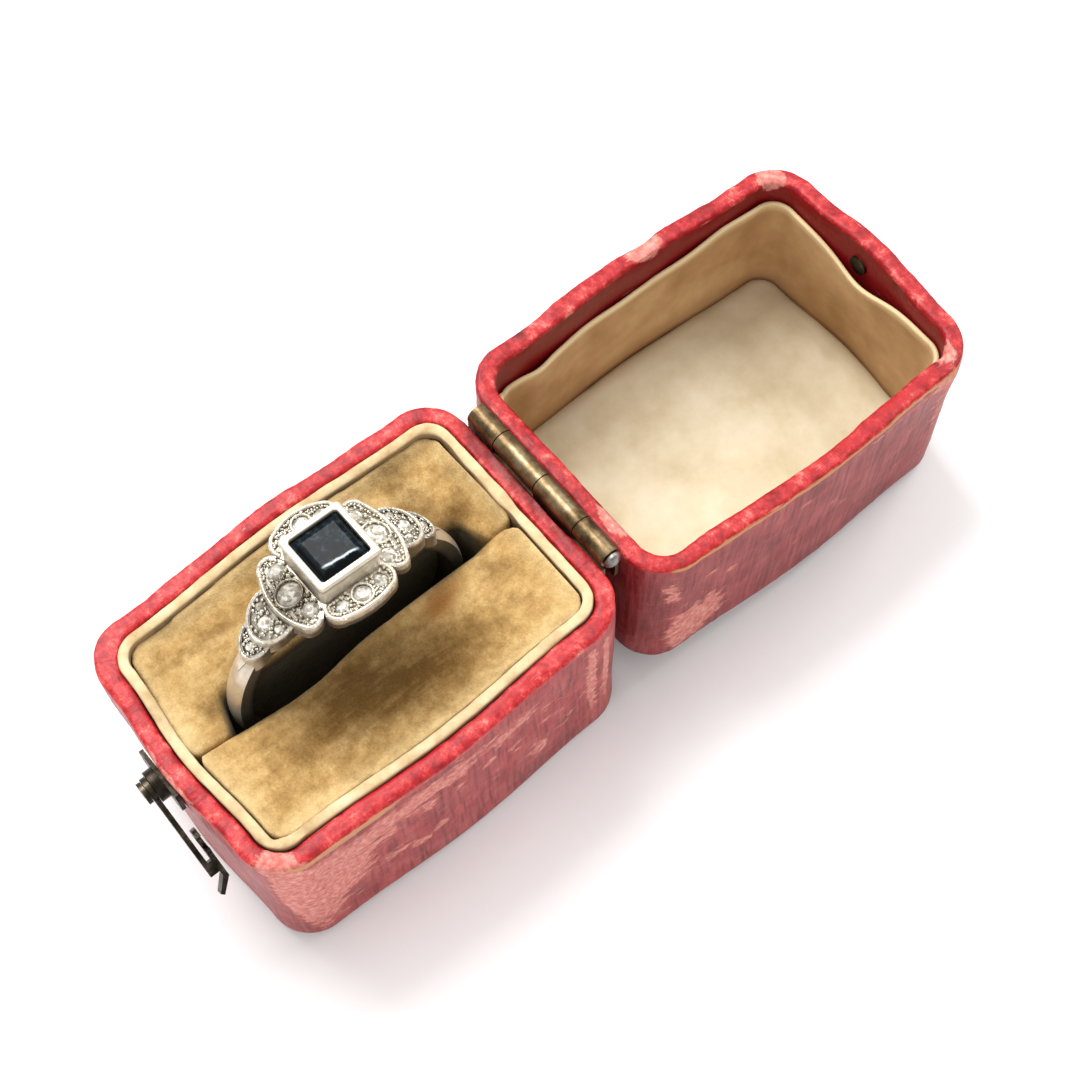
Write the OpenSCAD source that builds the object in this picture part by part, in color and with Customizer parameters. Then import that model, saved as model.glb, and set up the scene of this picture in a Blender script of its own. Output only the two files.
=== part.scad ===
// A square sapphire cluster ring standing in the slot of a small hinged leather ring box.
// X runs across the finger, along the hinge. Y runs from the clasp to the hinge. Z is up.
// The origin is the middle of the underside of the base. The lid is open and rests on the table.

/* [Box] */
// Width of the box, at its corners
box_w = 21; // [20:0.5:23]
// Length of the box from clasp to hinge, at its corners
box_l = 29.6; // [28:0.2:33]
// Height of the base
base_h = 16.6; // [16:0.1:18]
// Height of the lid
lid_h = 14.5; // [13.8:0.1:15]
// Radius of the upright corners
corner_r = 3.4; // [2.8:0.1:4.2]
// How far the middle of a side bows out
side_bow = 0.5; // [0.3:0.1:0.7]
// How far a side leans in from the rim to the bottom
side_lean = 0.4; // [0.3:0.05:0.5]
// Radius of the rounded bottom edges
edge_r = 0.8; // [0.5:0.1:1.0]
// Thickness of the leather-covered walls
wall_t = 1.35; // [1.2:0.05:1.5]
// Thickness of the bottom of the base
floor_t = 1.2; // [1:0.1:1.6]

/* [Insert] */
// Thickness of the rolled border round the pads
border_t = 0.75; // [0.6:0.05:0.9]
// How far the border reaches down inside the base
border_depth = 5; // [3:0.5:8]
// How far the border stands above the rim
border_rise = 0.3; // [0.1:0.05:0.4]
// Top of the pad behind the ring, below the rim
rear_pad_drop = 0.9; // [0.4:0.1:1.2]
// Top of the pad in front of the ring, below the rim
front_pad_drop = 0.1; // [0:0.05:0.4]
// Gap between the ring and the pad behind it
rear_pad_gap = 0.34; // [0.3:0.02:0.4]
// Gap between the ring and the pad in front of it
front_pad_gap = 0.78; // [0.6:0.02:0.9]
// Gap between the ring and each end of the slot
slot_end_gap = 1.15; // [0.9:0.05:1.3]
// Top of the closed ends of the slot, below the pad behind the ring
slot_end_drop = 0.5; // [0.3:0.1:1]
// Radius of the pads' rolled edges along the slot
pad_edge_r = 1.3; // [0.8:0.1:1.8]

/* [Lid lining] */
// Depth of the lid's pad below its rim
lid_pad_depth = 11.6; // [11.5:0.1:11.9]
// Thickness of the lid's pad
lid_pad_t = 1.3; // [1:0.1:1.5]
// Thickness of the card strip that lines the lid's walls
liner_t = 0.4; // [0.3:0.05:0.5]
// Depth of the strip's edge below the lid's rim
liner_drop = 2; // [1.6:0.1:2.4]

/* [Hinge] */
// Gap between the two boxes, across the hinge
hinge_gap = 1.7; // [1.7:0.1:2]
// Diameter of the hinge barrel
barrel_d = 1.6; // [1.4:0.1:1.6]
// Diameter of the hinge pin
pin_d = 0.7; // [0.6:0.1:0.8]
// Height of the hinge axis above the rim
axis_rise = 0.15; // [0.15:0.05:0.2]
// Thickness of the hinge leaves
leaf_t = 0.3; // [0.25:0.05:0.35]
// Length of a leaf down the wall
leaf_l = 3.3; // [2.5:0.1:4]

/* [Clasp] */
// Height of the hook's pivot below the rim
pivot_drop = 1.9; // [1.8:0.1:2.2]
// Place of the hook's pivot across the front
pivot_x = -0.4; // [-1:0.1:1]
// Length of the hook from its pivot to its tip
hook_l = 8.4; // [8:0.1:9]
// Angle at which the hook hangs below level
hook_sag = 35; // [25:1:45]
// Thickness of the hook's metal
hook_t = 0.35; // [0.3:0.05:0.4]
// Distance from the pivot to the notch that takes the stud
notch_at = 4.65; // [4.4:0.05:4.8]

/* [Ring] */
// Inside diameter of the ring
ring_d = 16.2; // [15.8:0.1:16.8]
// Thickness of the shank
shank_t = 1.15; // [1.05:0.05:1.25]
// Width of the shank
shank_w = 1.6; // [1.5:0.05:1.8]
// Height of the cluster's face above the shank
cluster_rise = 0.85; // [0.8:0.05:0.9]
// Thickness of the cluster's plate
cluster_t = 0.95; // [0.9:0.05:1]
// Width of the square setting across the top
collet_w = 4.6; // [4.5:0.05:4.7]
// Height of the square setting above the shank
collet_rise = 2.35; // [2.2:0.05:2.4]
// Radius of the square setting's corners
collet_corner = 0.5; // [0.3:0.05:0.6]
// Width of the raised rims round the panels
rim_w = 0.28; // [0.24:0.02:0.3]
// Depth of the panels inside their rims
rim_rise = 0.16; // [0.1:0.02:0.2]
// Width of the sapphire
sapphire_w = 3.72; // [3.6:0.02:3.8]
// Angle at which the ring leans back over the pad behind it
ring_lean = 3.2; // [0:0.2:4]
// Angle by which the ring is turned in its slot, its head towards the hinge
ring_turn = 3.6; // [0:0.2:6]

/* [Hidden] */
$fn = 64;
big = 100;
fit_gap = 0.05;
// How far the leaning planes stand off the bowed walls at the rim
lean_spare = 0.03;

leather = [0.72, 0.13, 0.17];
velvet = [0.68, 0.56, 0.36];
cream = [0.90, 0.83, 0.66];
bronze = [0.35, 0.29, 0.20];
platinum = [0.80, 0.79, 0.77];

// Hinge axis, and the droop at which the lid's far bottom edge meets the table
axis_y = box_l / 2 + hinge_gap / 2;
axis_z = base_h + axis_rise;
reach_y = hinge_gap / 2 + box_l + side_bow + lean_spare - side_lean - edge_run(lid_h);
reach_z = axis_rise + lid_h - edge_r;
droop = asin((axis_z - edge_r) / norm([reach_y, reach_z])) - atan2(reach_z, reach_y);
knuckle_x = [-7.15, -4.45, -0.25, 3.8, 6.85];
knuckle_gap = 0.08;

// Ring place: the shank's foot is deep in the slot and the ring's middle is below the rim
ring_x = -1.16;
ring_y = -0.18;
ring_z = base_h - 2.7;
inner_r = ring_d / 2;
shank_r = inner_r + shank_t;
shoulder_r = shank_r + 0.06;
cluster_r = shank_r + cluster_rise;
scallop_r = cluster_r - 0.25;
tip_r = cluster_r - 0.52;
collet_r = shank_r + collet_rise;
seat_gap = 0.02;

// Outline of the cluster, seen from above. Each panel is a shallow arc with a round corner at both ends.
side_apex = 4.24;
side_half = 2.75;
side_sagitta = 0.92;
side_corner_r = 1.1;
side_corner_y = 1.5;
end_apex = 4.7;
end_half = 2.9;
end_sagitta = 0.92;
end_corner_r = 0.85;
end_corner_x = 2.13;
// How far a round corner stands out past the arc that it ends
corner_proud = 0.03;
scallop_size = 1.77;
scallop_apex = 6.55;
tip_size = 1.25;
tip_apex = 7.49;
// Stones: place across the finger, place round it, radius and the radius of the face that holds it
STONE_X = 0;
STONE_Y = 1;
STONE_R = 2;
STONE_FACE = 3;
stone_sink = rim_rise - 0.1;
stones = concat(
    [for (side = [-1, 1]) for (k = [-1 : 1])
        [side * (k == 0 ? 3.16 : 3), k * 1.48, k == 0 ? 0.66 : 0.52, cluster_r - stone_sink]],
    [for (side = [-1, 1]) for (k = [-1 : 1])
        [k * 1.75, side * (k == 0 ? 3.38 : 3.06), k == 0 ? 0.85 : 0.6, cluster_r - stone_sink]],
    [for (side = [-1, 1]) for (k = [-1 : 1])
        [k * 1.02, side * (k == 0 ? 5.5 : 5.1), k == 0 ? 0.56 : 0.36, scallop_r - stone_sink]],
    [for (side = [-1, 1]) [0, side * 6.86, 0.36, tip_r - stone_sink]]);

// Width of the rounded bottom edge of a box whose sides lean in over its height
function edge_run(height) = edge_r * tan(45 - atan(side_lean / height) / 2);

// Radius of the arc with a half chord and a sagitta
function arc_r(half, sagitta) = (half * half + sagitta * sagitta) / (2 * sagitta);

// A strip that is bounded by two arcs in X, each bowed out at its middle
module bowed_strip(half_w, half_l, bow) {
    r = arc_r(half_l, bow);
    intersection() {
        translate([half_w + bow - r, 0]) circle(r, $fn = 360);
        translate([r - half_w - bow, 0]) circle(r, $fn = 360);
        square([2 * (half_w + bow), 2 * half_l], center = true);
    }
}

// Plan of the box, inset by t: three sides bow out, and the side at the hinge is straight
module box_plan(t) {
    half_w = box_w / 2 - t;
    half_l = box_l / 2 - t;
    r = corner_r - t * 0.8;
    bowed_strip(half_w, half_l - r, side_bow);
    difference() {
        rotate(90) bowed_strip(half_l, half_w - r, side_bow);
        translate([-big / 2, half_l]) square([big, big]);
    }
    for (x = [-1, 1]) for (y = [-1, 1])
        translate([x * (half_w - r), y * (half_l - r)]) circle(r);
}

// Section of the box: sides lean in and the bottom edges are rounded
module lean_section(half_left, half_right, height) {
    difference() {
        polygon([[side_lean - half_left, 0], [half_right - side_lean, 0],
            [half_right, height], [-half_left, height]]);
        for (side = [[-1, half_left], [1, half_right]])
            translate([side[0] * (side[1] - side_lean), 0]) bottom_edge_cut(side[0], height);
    }
}

module bottom_edge_cut(side, height) {
    run = edge_run(height);
    difference() {
        translate([side > 0 ? -run : -1, -1])
            square([run + 1, 1 + run * cos(atan(side_lean / height))]);
        translate([-side * run, edge_r]) circle(edge_r);
    }
}

// A closed box of the given height, rim up, before it is hollowed
module box_block(height) {
    intersection() {
        linear_extrude(height) box_plan(0);
        rotate([90, 0, 0]) linear_extrude(big, center = true)
            lean_section(box_w / 2 + side_bow + lean_spare, box_w / 2 + side_bow + lean_spare, height);
        rotate([90, 0, 90]) linear_extrude(big, center = true)
            lean_section(box_l / 2 + side_bow + lean_spare, box_l / 2 + lean_spare, height);
    }
}

module barrel_groove() {
    translate([(knuckle_x[0] + knuckle_x[4]) / 2, 0, 0]) rotate([0, 90, 0])
        cylinder(r = barrel_d / 2 + 0.3, h = knuckle_x[4] - knuckle_x[0] + 1.2, center = true);
}

module base_case() {
    color(leather) difference() {
        box_block(base_h);
        translate([0, 0, floor_t]) linear_extrude(base_h) box_plan(wall_t);
        translate([0, axis_y, axis_z]) barrel_groove();
    }
}

module insert_border() {
    color(cream) translate([0, 0, base_h - border_depth])
        linear_extrude(border_depth + border_rise) difference() {
            box_plan(wall_t + 0.05);
            box_plan(wall_t + border_t);
        }
}

// One pad: it fills one side of the base up to the slot, and its slot edge is rolled
module pad(slot_edge, side, drop) {
    low = floor_t + 0.05;
    top = base_h - drop;
    intersection() {
        linear_extrude(base_h) box_plan(wall_t + border_t + 0.1);
        rotate([90, 0, 0]) linear_extrude(big, center = true) difference() {
            translate([side > 0 ? slot_edge : slot_edge - big, low]) square([big, top - low]);
            translate([slot_edge + side * pad_edge_r, top - pad_edge_r]) difference() {
                translate([side > 0 ? -pad_edge_r - 1 : 0, 0]) square([pad_edge_r + 1, pad_edge_r + 1]);
                circle(pad_edge_r);
            }
        }
    }
}

// The pad behind the ring also fills the slot under the ring's foot and past both its sides
module rear_pad() {
    color(velvet) {
        pad(ring_x - shank_w / 2 - rear_pad_gap, -1, rear_pad_drop);
        intersection() {
            linear_extrude(base_h) box_plan(wall_t + border_t + 0.1);
            rotate([90, 0, 90]) translate([0, 0, ring_x - shank_w / 2 - rear_pad_gap - 1])
                linear_extrude(shank_w + rear_pad_gap + front_pad_gap + 0.95) slot_filling();
        }
    }
}

// Section along the slot: a floor under the foot and a block at each end
module slot_filling() {
    low = floor_t + 0.05;
    foot = ring_z - shank_r - 0.2;
    slot_half = shank_r + slot_end_gap;
    translate([-big / 2, low]) square([big, foot - low]);
    for (side = [-1, 1])
        translate([side > 0 ? slot_half : -slot_half - big, low])
            square([big, base_h - rear_pad_drop - slot_end_drop - low]);
}

module front_pad() {
    color(velvet) pad(ring_x + shank_w / 2 + front_pad_gap, 1, front_pad_drop);
}

// Knuckles and leaf of one half of the hinge, on an axis at the origin, with the wall towards -Y
module hinge_half(first) {
    difference() {
        union() {
            for (i = [first, first + 2]) knuckle(i);
            translate([knuckle_x[0], -barrel_d / 2, -leaf_l])
                cube([knuckle_x[4] - knuckle_x[0], leaf_t, leaf_l - barrel_d / 2 - 0.2]);
        }
        rotate([0, 90, 0]) cylinder(d = pin_d + 2 * fit_gap, h = big, center = true);
    }
}

module knuckle(i) {
    from = knuckle_x[i] + knuckle_gap / 2;
    span = knuckle_x[i + 1] - knuckle_x[i] - knuckle_gap;
    translate([from, 0, 0]) rotate([0, 90, 0]) cylinder(d = barrel_d, h = span);
    translate([from, -barrel_d / 2, -leaf_l]) cube([span, leaf_t, leaf_l]);
}

module hinge_base_leaf() {
    color(bronze) translate([0, axis_y, axis_z]) hinge_half(0);
}

module hinge_pin() {
    length = knuckle_x[4] - knuckle_x[0];
    color([0.62, 0.60, 0.58]) translate([knuckle_x[0], axis_y, axis_z]) rotate([0, 90, 0]) {
        cylinder(d = pin_d, h = length + 0.2);
        translate([0, 0, length + 0.08]) intersection() {
            cylinder(r = barrel_d / 2 - 0.15, h = 0.5);
            translate([0, 0, -0.35]) sphere(r = 0.85);
        }
    }
}

// Everything on the lid is drawn hollow side up, with the hinge axis at the origin
module lid_frame() {
    translate([0, axis_y, axis_z]) rotate([-droop, 0, 0]) children();
}

module lid_plan(t) {
    translate([0, axis_y]) mirror([0, 1]) box_plan(t);
}

module lid_case() {
    color(leather) lid_frame() difference() {
        translate([0, axis_y, -axis_rise - lid_h]) mirror([0, 1, 0]) box_block(lid_h);
        translate([0, 0, -axis_rise - lid_pad_depth - lid_pad_t]) linear_extrude(lid_h)
            lid_plan(wall_t);
        barrel_groove();
        translate([stud_x, 0, stud_z]) rotate([-90, 0, 0]) cylinder(r = stud_r + seat_gap, h = big);
    }
}

module lid_liner() {
    depth = lid_pad_depth - liner_drop - 0.05;
    color(cream) lid_frame() difference() {
        translate([0, 0, -axis_rise - liner_drop - depth]) linear_extrude(depth) difference() {
            lid_plan(wall_t + 0.05);
            lid_plan(wall_t + liner_t);
        }
        translate([stud_x, axis_y, stud_z]) rotate([-90, 0, 0])
            cylinder(r = rivet_r + 0.1, h = big);
    }
}

module lid_pad() {
    color(cream) lid_frame() translate([0, 0, -axis_rise - lid_pad_depth - lid_pad_t + 0.05])
        linear_extrude(lid_pad_t - 0.05) lid_plan(wall_t + 0.1);
}

module hinge_lid_leaf() {
    color(bronze) lid_frame() mirror([0, 1, 0]) hinge_half(1);
}

// Clasp: depths are measured out from the middle of the front wall
front_y = -box_l / 2 - side_bow;
pivot_z = base_h - pivot_drop;
pivot_r = 0.45;
head_r = 0.8;
head_t = 0.3;
plate_t = 0.3;
plate_w = 4.4;
plate_h = 2.6;
plate_end_r = 2.35;
boss_r = 1.15;
boss_out = 0.95;
bar_out = boss_out + fit_gap;
bar_end = notch_at + 2.35;
web_l = 0.9;
arm_from_w = 1;
arm_to_w = 0.6;
strip_out = 0.35;
strip_low = -0.45;
strip_high = 0.7;
catch_r = 1;
notch_r = 0.5;
notch_v = 0.45;
stud_r = notch_r - 0.1;
stud_x = pivot_x - notch_v;
stud_z = axis_z - pivot_z - notch_at;
rivet_r = 0.75;
rivet_t = 0.18;

// Turns a shape drawn in the plane of the front wall, with depth along +Z, to the pivot
module clasp_frame() {
    translate([pivot_x, front_y, pivot_z]) rotate([90, 0, 0]) children();
}

module hook_plate() {
    color(bronze) clasp_frame() {
        linear_extrude(plate_t) intersection() {
            square([plate_w, plate_h], center = true);
            circle(plate_end_r);
        }
        cylinder(r = boss_r, h = boss_out);
        cylinder(r = pivot_r, h = bar_out + hook_t + 0.1);
        translate([0, 0, bar_out + hook_t + fit_gap]) cylinder(r = head_r, h = head_t);
    }
}

// The arm from the pivot, drawn along +X before the hook is hung
module hook_arm() {
    difference() {
        union() {
            circle(2 * pivot_r);
            polygon([[0, -arm_from_w / 2], [bar_end, -arm_to_w / 2],
                [bar_end, arm_to_w / 2], [0, arm_from_w / 2]]);
        }
        circle(pivot_r + fit_gap);
    }
}

// The strip next to the wall, with the notch for the stud open towards its upper edge
module hook_catch() {
    difference() {
        union() {
            translate([notch_at, strip_low])
                square([hook_l - web_l - notch_at, strip_high - strip_low]);
            translate([notch_at, notch_v - 0.15]) circle(catch_r);
        }
        translate([notch_at, notch_v]) circle(notch_r);
        translate([notch_at - notch_r, notch_v]) square([2 * notch_r, 2]);
    }
}

module hook_lever() {
    color(bronze) clasp_frame() rotate(-hook_sag) {
        translate([0, 0, bar_out]) linear_extrude(hook_t) hook_arm();
        translate([0, 0, strip_out]) linear_extrude(hook_t) hook_catch();
        translate([bar_end - web_l, -arm_to_w / 2, strip_out + 0.1])
            cube([web_l, arm_to_w, bar_out - strip_out]);
        rotate([90, 0, 0]) linear_extrude(strip_high - strip_low, center = true) thumb_lip();
    }
}

// Section of the hook's end, which is bent out for the thumb
module thumb_lip() {
    bend = hook_l - 1.1;
    lift = 0.95;
    edge = 0.2;
    polygon([[bend, strip_out], [bend + edge, strip_out], [hook_l, strip_out + lift],
        [hook_l - edge, strip_out + lift + edge], [bend, strip_out + hook_t]]);
}

module catch_stud() {
    wall_out = hinge_gap / 2 + box_l + side_bow;
    wall_in = wall_out - wall_t;
    color(bronze) lid_frame() translate([stud_x, 0, stud_z]) rotate([-90, 0, 0]) {
        translate([0, 0, wall_in - rivet_t - seat_gap]) cylinder(r = rivet_r, h = rivet_t);
        translate([0, 0, wall_in - 0.1])
            cylinder(r = stud_r, h = wall_t + 0.1 + strip_out + hook_t + 0.1);
    }
}

// The ring is drawn with its middle at the origin, its face up and the finger along X
module ring_frame() {
    translate([ring_x, ring_y, ring_z]) rotate([-ring_turn, -ring_lean, 0]) children();
}

module finger_shell(inside, outside, width) {
    rotate([0, 90, 0]) difference() {
        cylinder(r = outside, h = width, center = true, $fn = 96);
        cylinder(r = inside, h = width + 1, center = true, $fn = 96);
    }
}

// Low crowned band: flat inside, and rounded across the outside
module shank() {
    crown_r = 1.5;
    rotate([0, 90, 0]) rotate_extrude($fn = 96) intersection() {
        translate([inner_r, -shank_w / 2]) square([shank_t, shank_w]);
        translate([shank_r - crown_r, 0]) circle(crown_r);
    }
}

// Long lens under the cluster: the shank's shoulders, which widen towards the head
module shoulder_plan() {
    half_l = 8;
    half_w = 1.9;
    r = arc_r(half_l, half_w);
    intersection_for(side = [-1, 1]) translate([side * (r - half_w), 0]) circle(r, $fn = 128);
}

// Half of one panel's outline over +X, inset by t: the arc's middle, two round corners and the root
module panel(arc, apex, corner_r, corner_at, t) {
    arc_x = apex - arc;
    corner_x = arc_x + sqrt(pow(arc - corner_r + corner_proud, 2) - corner_at * corner_at);
    intersection() {
        translate([arc_x, 0]) circle(arc - t, $fn = 128);
        translate([0, -corner_at - 0.3]) square([big, 2 * corner_at + 0.6]);
    }
    for (side = [-1, 1]) translate([corner_x, side * corner_at]) circle(corner_r - t);
    root_half = corner_at + corner_r / 2 - t;
    translate([0, -root_half]) square([corner_x, 2 * root_half]);
}

module side_panels(t) {
    for (turn = [0, 180]) rotate(turn)
        panel(arc_r(side_half, side_sagitta), side_apex, side_corner_r, side_corner_y, t);
}

module end_panels(t) {
    for (turn = [90, 270]) rotate(turn)
        panel(arc_r(end_half, end_sagitta), end_apex, end_corner_r, end_corner_x, t);
}

// Sunk floor of the panels: a rib runs out from each corner of the setting, between two panels
module cluster_floor() {
    corner = collet_w / 2;
    difference() {
        union() {
            side_panels(rim_w);
            end_panels(rim_w);
        }
        for (x = [-1, 1]) for (y = [-1, 1]) translate([x * corner, y * corner])
            rotate(atan2(y * 0.35, x * 0.7)) translate([-1, -rim_w / 2]) square([2.5, rim_w]);
    }
}

// One pair of round scallops at both ends of the cluster, with their floors sunk
module scallops(size, apex, inside, outside) {
    for (side = [-1, 1]) difference() {
        relief(big, inside, outside) translate([0, side * (apex - size)]) circle(size);
        relief(big, outside - rim_rise, outside + 1)
            translate([0, side * (apex - size)]) circle(size - rim_w);
    }
}

module rounded_square(width, r) {
    square([width, width - 2 * r], center = true);
    square([width - 2 * r, width], center = true);
    for (x = [-1, 1]) for (y = [-1, 1]) translate([x, y] * (width / 2 - r)) circle(r);
}

module relief(plan_height, inside, outside) {
    intersection() {
        linear_extrude(big) children();
        finger_shell(inside, outside, plan_height);
    }
}

// Turns a stone's own frame, with its face at z = 0, to its place on the ring
module stone_place(s) {
    rotate([-asin(s[STONE_Y] / s[STONE_FACE]), 0, 0]) translate([s[STONE_X], 0, s[STONE_FACE]])
        children();
}

module stone_seat(s) {
    stone_place(s) {
        translate([0, 0, -0.5]) cylinder(r = s[STONE_R] + seat_gap, h = 2, $fn = 32);
        translate([0, 0, -3]) cylinder(r = s[STONE_R] * 0.62, h = 4, $fn = 32);
    }
}

// The square setting is open at the back, under the sapphire's point
module ring() {
    seat_w = sapphire_w + 2 * seat_gap;
    back_w = 0.7 * sapphire_w;
    color(platinum) ring_frame() difference() {
        union() {
            shank();
            relief(big, inner_r, shoulder_r) shoulder_plan();
            difference() {
                relief(big, cluster_r - cluster_t, cluster_r) {
                    side_panels(0);
                    end_panels(0);
                }
                relief(big, cluster_r - rim_rise, cluster_r + 1) cluster_floor();
            }
            scallops(scallop_size, scallop_apex, inner_r + 0.9, scallop_r);
            scallops(tip_size, tip_apex, inner_r + 0.6, tip_r);
            translate([0, 0, shank_r - 0.4]) linear_extrude(collet_r - shank_r + 0.4)
                rounded_square(collet_w, collet_corner);
        }
        translate([-seat_w / 2, -seat_w / 2, collet_r - 0.75]) cube([seat_w, seat_w, 2]);
        translate([-back_w / 2, -back_w / 2, 0]) cube([back_w, back_w, big]);
        for (s = stones) stone_seat(s);
    }
}

// Square step cut: a table, two rows of four facets above the girdle and three below
module sapphire() {
    girdle = collet_r - 0.28;
    steps = [[collet_r + 0.13, 0.66], [collet_r + 0.04, 0.8], [collet_r - 0.12, 0.965],
        [girdle, 1], [girdle - 0.06, 1], [girdle - 0.4, 0.97]];
    color([0.03, 0.06, 0.13]) ring_frame() {
        square_cut(concat(steps, [[girdle - 0.44, 0.64], [girdle - 1.0, 0.45], [girdle - 1.35, 0.12]]));
    }
}

// Stack of squares, each a height and a share of the sapphire's width, joined by flat facets
module square_cut(levels) {
    count = len(levels);
    corner = [[-1, -1], [1, -1], [1, 1], [-1, 1]];
    points = [for (level = levels) for (c = corner)
        [c[0] * level[1] * sapphire_w / 2, c[1] * level[1] * sapphire_w / 2, level[0]]];
    walls = [for (i = [0 : count - 2]) for (k = [0 : 3])
        [4 * i + k, 4 * (i + 1) + k, 4 * (i + 1) + (k + 1) % 4, 4 * i + (k + 1) % 4]];
    faces = concat([[0, 1, 2, 3]], walls, [[for (k = [3 : -1 : 0]) 4 * (count - 1) + k]]);
    polyhedron(points, [for (f = faces) [for (k = [len(f) - 1 : -1 : 0]) f[k]]]);
}

// Old cut: an eight-sided table and a pointed back, joined over a sixteen-sided girdle
module diamond(i) {
    s = stones[i];
    r = s[STONE_R];
    color([0.86, 0.88, 0.90]) ring_frame() stone_place(s) hull() {
        translate([0, 0, 0.1]) cylinder(r = r * 0.55, h = 0.02, $fn = 8);
        translate([0, 0, -0.12]) cylinder(r = r, h = 0.03, $fn = 16);
        translate([0, 0, -0.46]) cylinder(r = r * 0.5, h = 0.02, $fn = 8);
    }
}

base_case();
insert_border();
rear_pad();
front_pad();
hinge_base_leaf();
hinge_pin();
hinge_lid_leaf();
hook_plate();
hook_lever();
lid_case();
lid_liner();
lid_pad();
catch_stud();
ring();
sapphire();
for (i = [0 : len(stones) - 1])
    diamond(i);
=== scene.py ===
from functools import partial
import bmesh
import bpy
import numpy as np
from mathutils import Matrix


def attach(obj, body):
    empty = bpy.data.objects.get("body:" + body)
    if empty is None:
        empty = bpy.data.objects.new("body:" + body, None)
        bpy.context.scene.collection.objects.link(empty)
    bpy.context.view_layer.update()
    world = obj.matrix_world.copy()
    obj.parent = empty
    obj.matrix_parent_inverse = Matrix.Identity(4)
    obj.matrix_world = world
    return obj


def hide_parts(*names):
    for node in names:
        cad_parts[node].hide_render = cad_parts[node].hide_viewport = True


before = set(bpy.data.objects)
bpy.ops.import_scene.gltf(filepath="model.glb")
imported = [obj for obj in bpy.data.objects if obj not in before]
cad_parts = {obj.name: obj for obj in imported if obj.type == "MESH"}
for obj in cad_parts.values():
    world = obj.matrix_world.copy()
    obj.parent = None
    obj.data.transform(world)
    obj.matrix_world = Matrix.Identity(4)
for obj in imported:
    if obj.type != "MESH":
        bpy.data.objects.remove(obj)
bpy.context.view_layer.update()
scene = bpy.context.scene

# Camera: a long lens that looks down on the open box from its front right corner.
def stand(thing, axes, at):
    """Turns a camera or lamp so that its own X, Y and Z lie along three axes, and puts it at a point
    in metres."""
    turn = np.identity(4)
    turn[:3, :3] = np.stack(axes, axis=1)
    turn[:3, 3] = at
    thing.matrix_world = Matrix(turn.tolist())
    scene.collection.objects.link(thing)


look = np.array([-0.34243, 0.23746, -0.90904])
right = np.array([0.63248, 0.77373, -0.03614])
up = np.array([-0.69477, 0.58733, 0.41514])
camera = bpy.data.objects.new("camera", bpy.data.cameras.new("camera"))
camera.data.lens = 77.68
camera.data.sensor_width = 36
camera.data.clip_start = 0.002
stand(camera, [right, up, -look], np.array([54.880, -23.103, 154.744]) / 1000)
scene.camera = camera


# Floor: a sheet of matt white paper, lit from all round and most from the upper left.
def linear(hex_colour):
    """Linear colour with alpha from an sRGB hex value."""
    parts = np.array([int(hex_colour[i:i + 2], 16) for i in (1, 3, 5)]) / 255
    parts = np.where(parts <= 0.04045, parts / 12.92, ((parts + 0.055) / 1.055) ** 2.4)
    return tuple(parts) + (1.0,)


def node(tree, kind, *inputs, out=None, stops=None, **named):
    """Adds one shader node and gives one of its outputs: the first in use, or the one that out names.
    The kind's second word is its operation or type of data. Inputs are numbers, hex colours or other
    nodes' outputs, in the order of the sockets in use or by name, and other names are the node's own
    settings. A range's inputs are the value, from min, from max, to min and to max; a noise's are the
    place, scale, detail and roughness. stops are the places and colours of a ramp."""
    kind, *option = kind.split()
    made = tree.nodes.new("ShaderNode" + kind)
    if option:
        setattr(made, "data_type" if kind == "Mix" else "operation", option[0])
    in_use = [socket for socket in made.inputs if socket.enabled]
    by_name = {socket.name.lower().replace(" ", "_"): socket for socket in in_use}
    links = list(zip(in_use, inputs))
    for name, value in named.items():
        if name in by_name:
            links.append((by_name[name], value))
        else:
            setattr(made, name, value)
    for socket, value in links:
        if isinstance(value, bpy.types.NodeSocket):
            tree.links.new(value, socket)
        else:
            socket.default_value = linear(value) if isinstance(value, str) else value
    for number, (place, colour) in enumerate(stops.items() if stops else ()):
        if number > 1:
            made.color_ramp.elements.new(1.0)
        made.color_ramp.elements[number].position = place
        made.color_ramp.elements[number].color = linear(colour)
    return made.outputs[out] if out else next((socket for socket in made.outputs if socket.enabled), None)


def material(name):
    """New empty material, the node function for its tree, and its Object coordinates."""
    made = bpy.data.materials.new(name)
    made.use_nodes = True
    made.node_tree.nodes.clear()
    add = partial(node, made.node_tree)
    return made, add, add("TexCoord", out="Object")


floor_mesh = bpy.data.meshes.new("floor")
floor_mesh.from_pydata([(-2, -2, 0), (2, -2, 0), (2, 2, 0), (-2, 2, 0)], [], [(0, 1, 2, 3)])
floor = bpy.data.objects.new("floor", floor_mesh)
scene.collection.objects.link(floor)
# Matt white paper: no gloss, with a very faint fibre.
paper, add, place = material("white_paper")
fibre = add("TexNoise", place, 900.0, 3.0)
shade = add("ValToRGB", fibre, stops={0.0: "#f4f4f4", 1.0: "#f6f6f6"})
add("OutputMaterial", add("BsdfPrincipled", base_color=shade, roughness=1.0, specular_ior_level=0.0))
floor_mesh.materials.append(paper)

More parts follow.
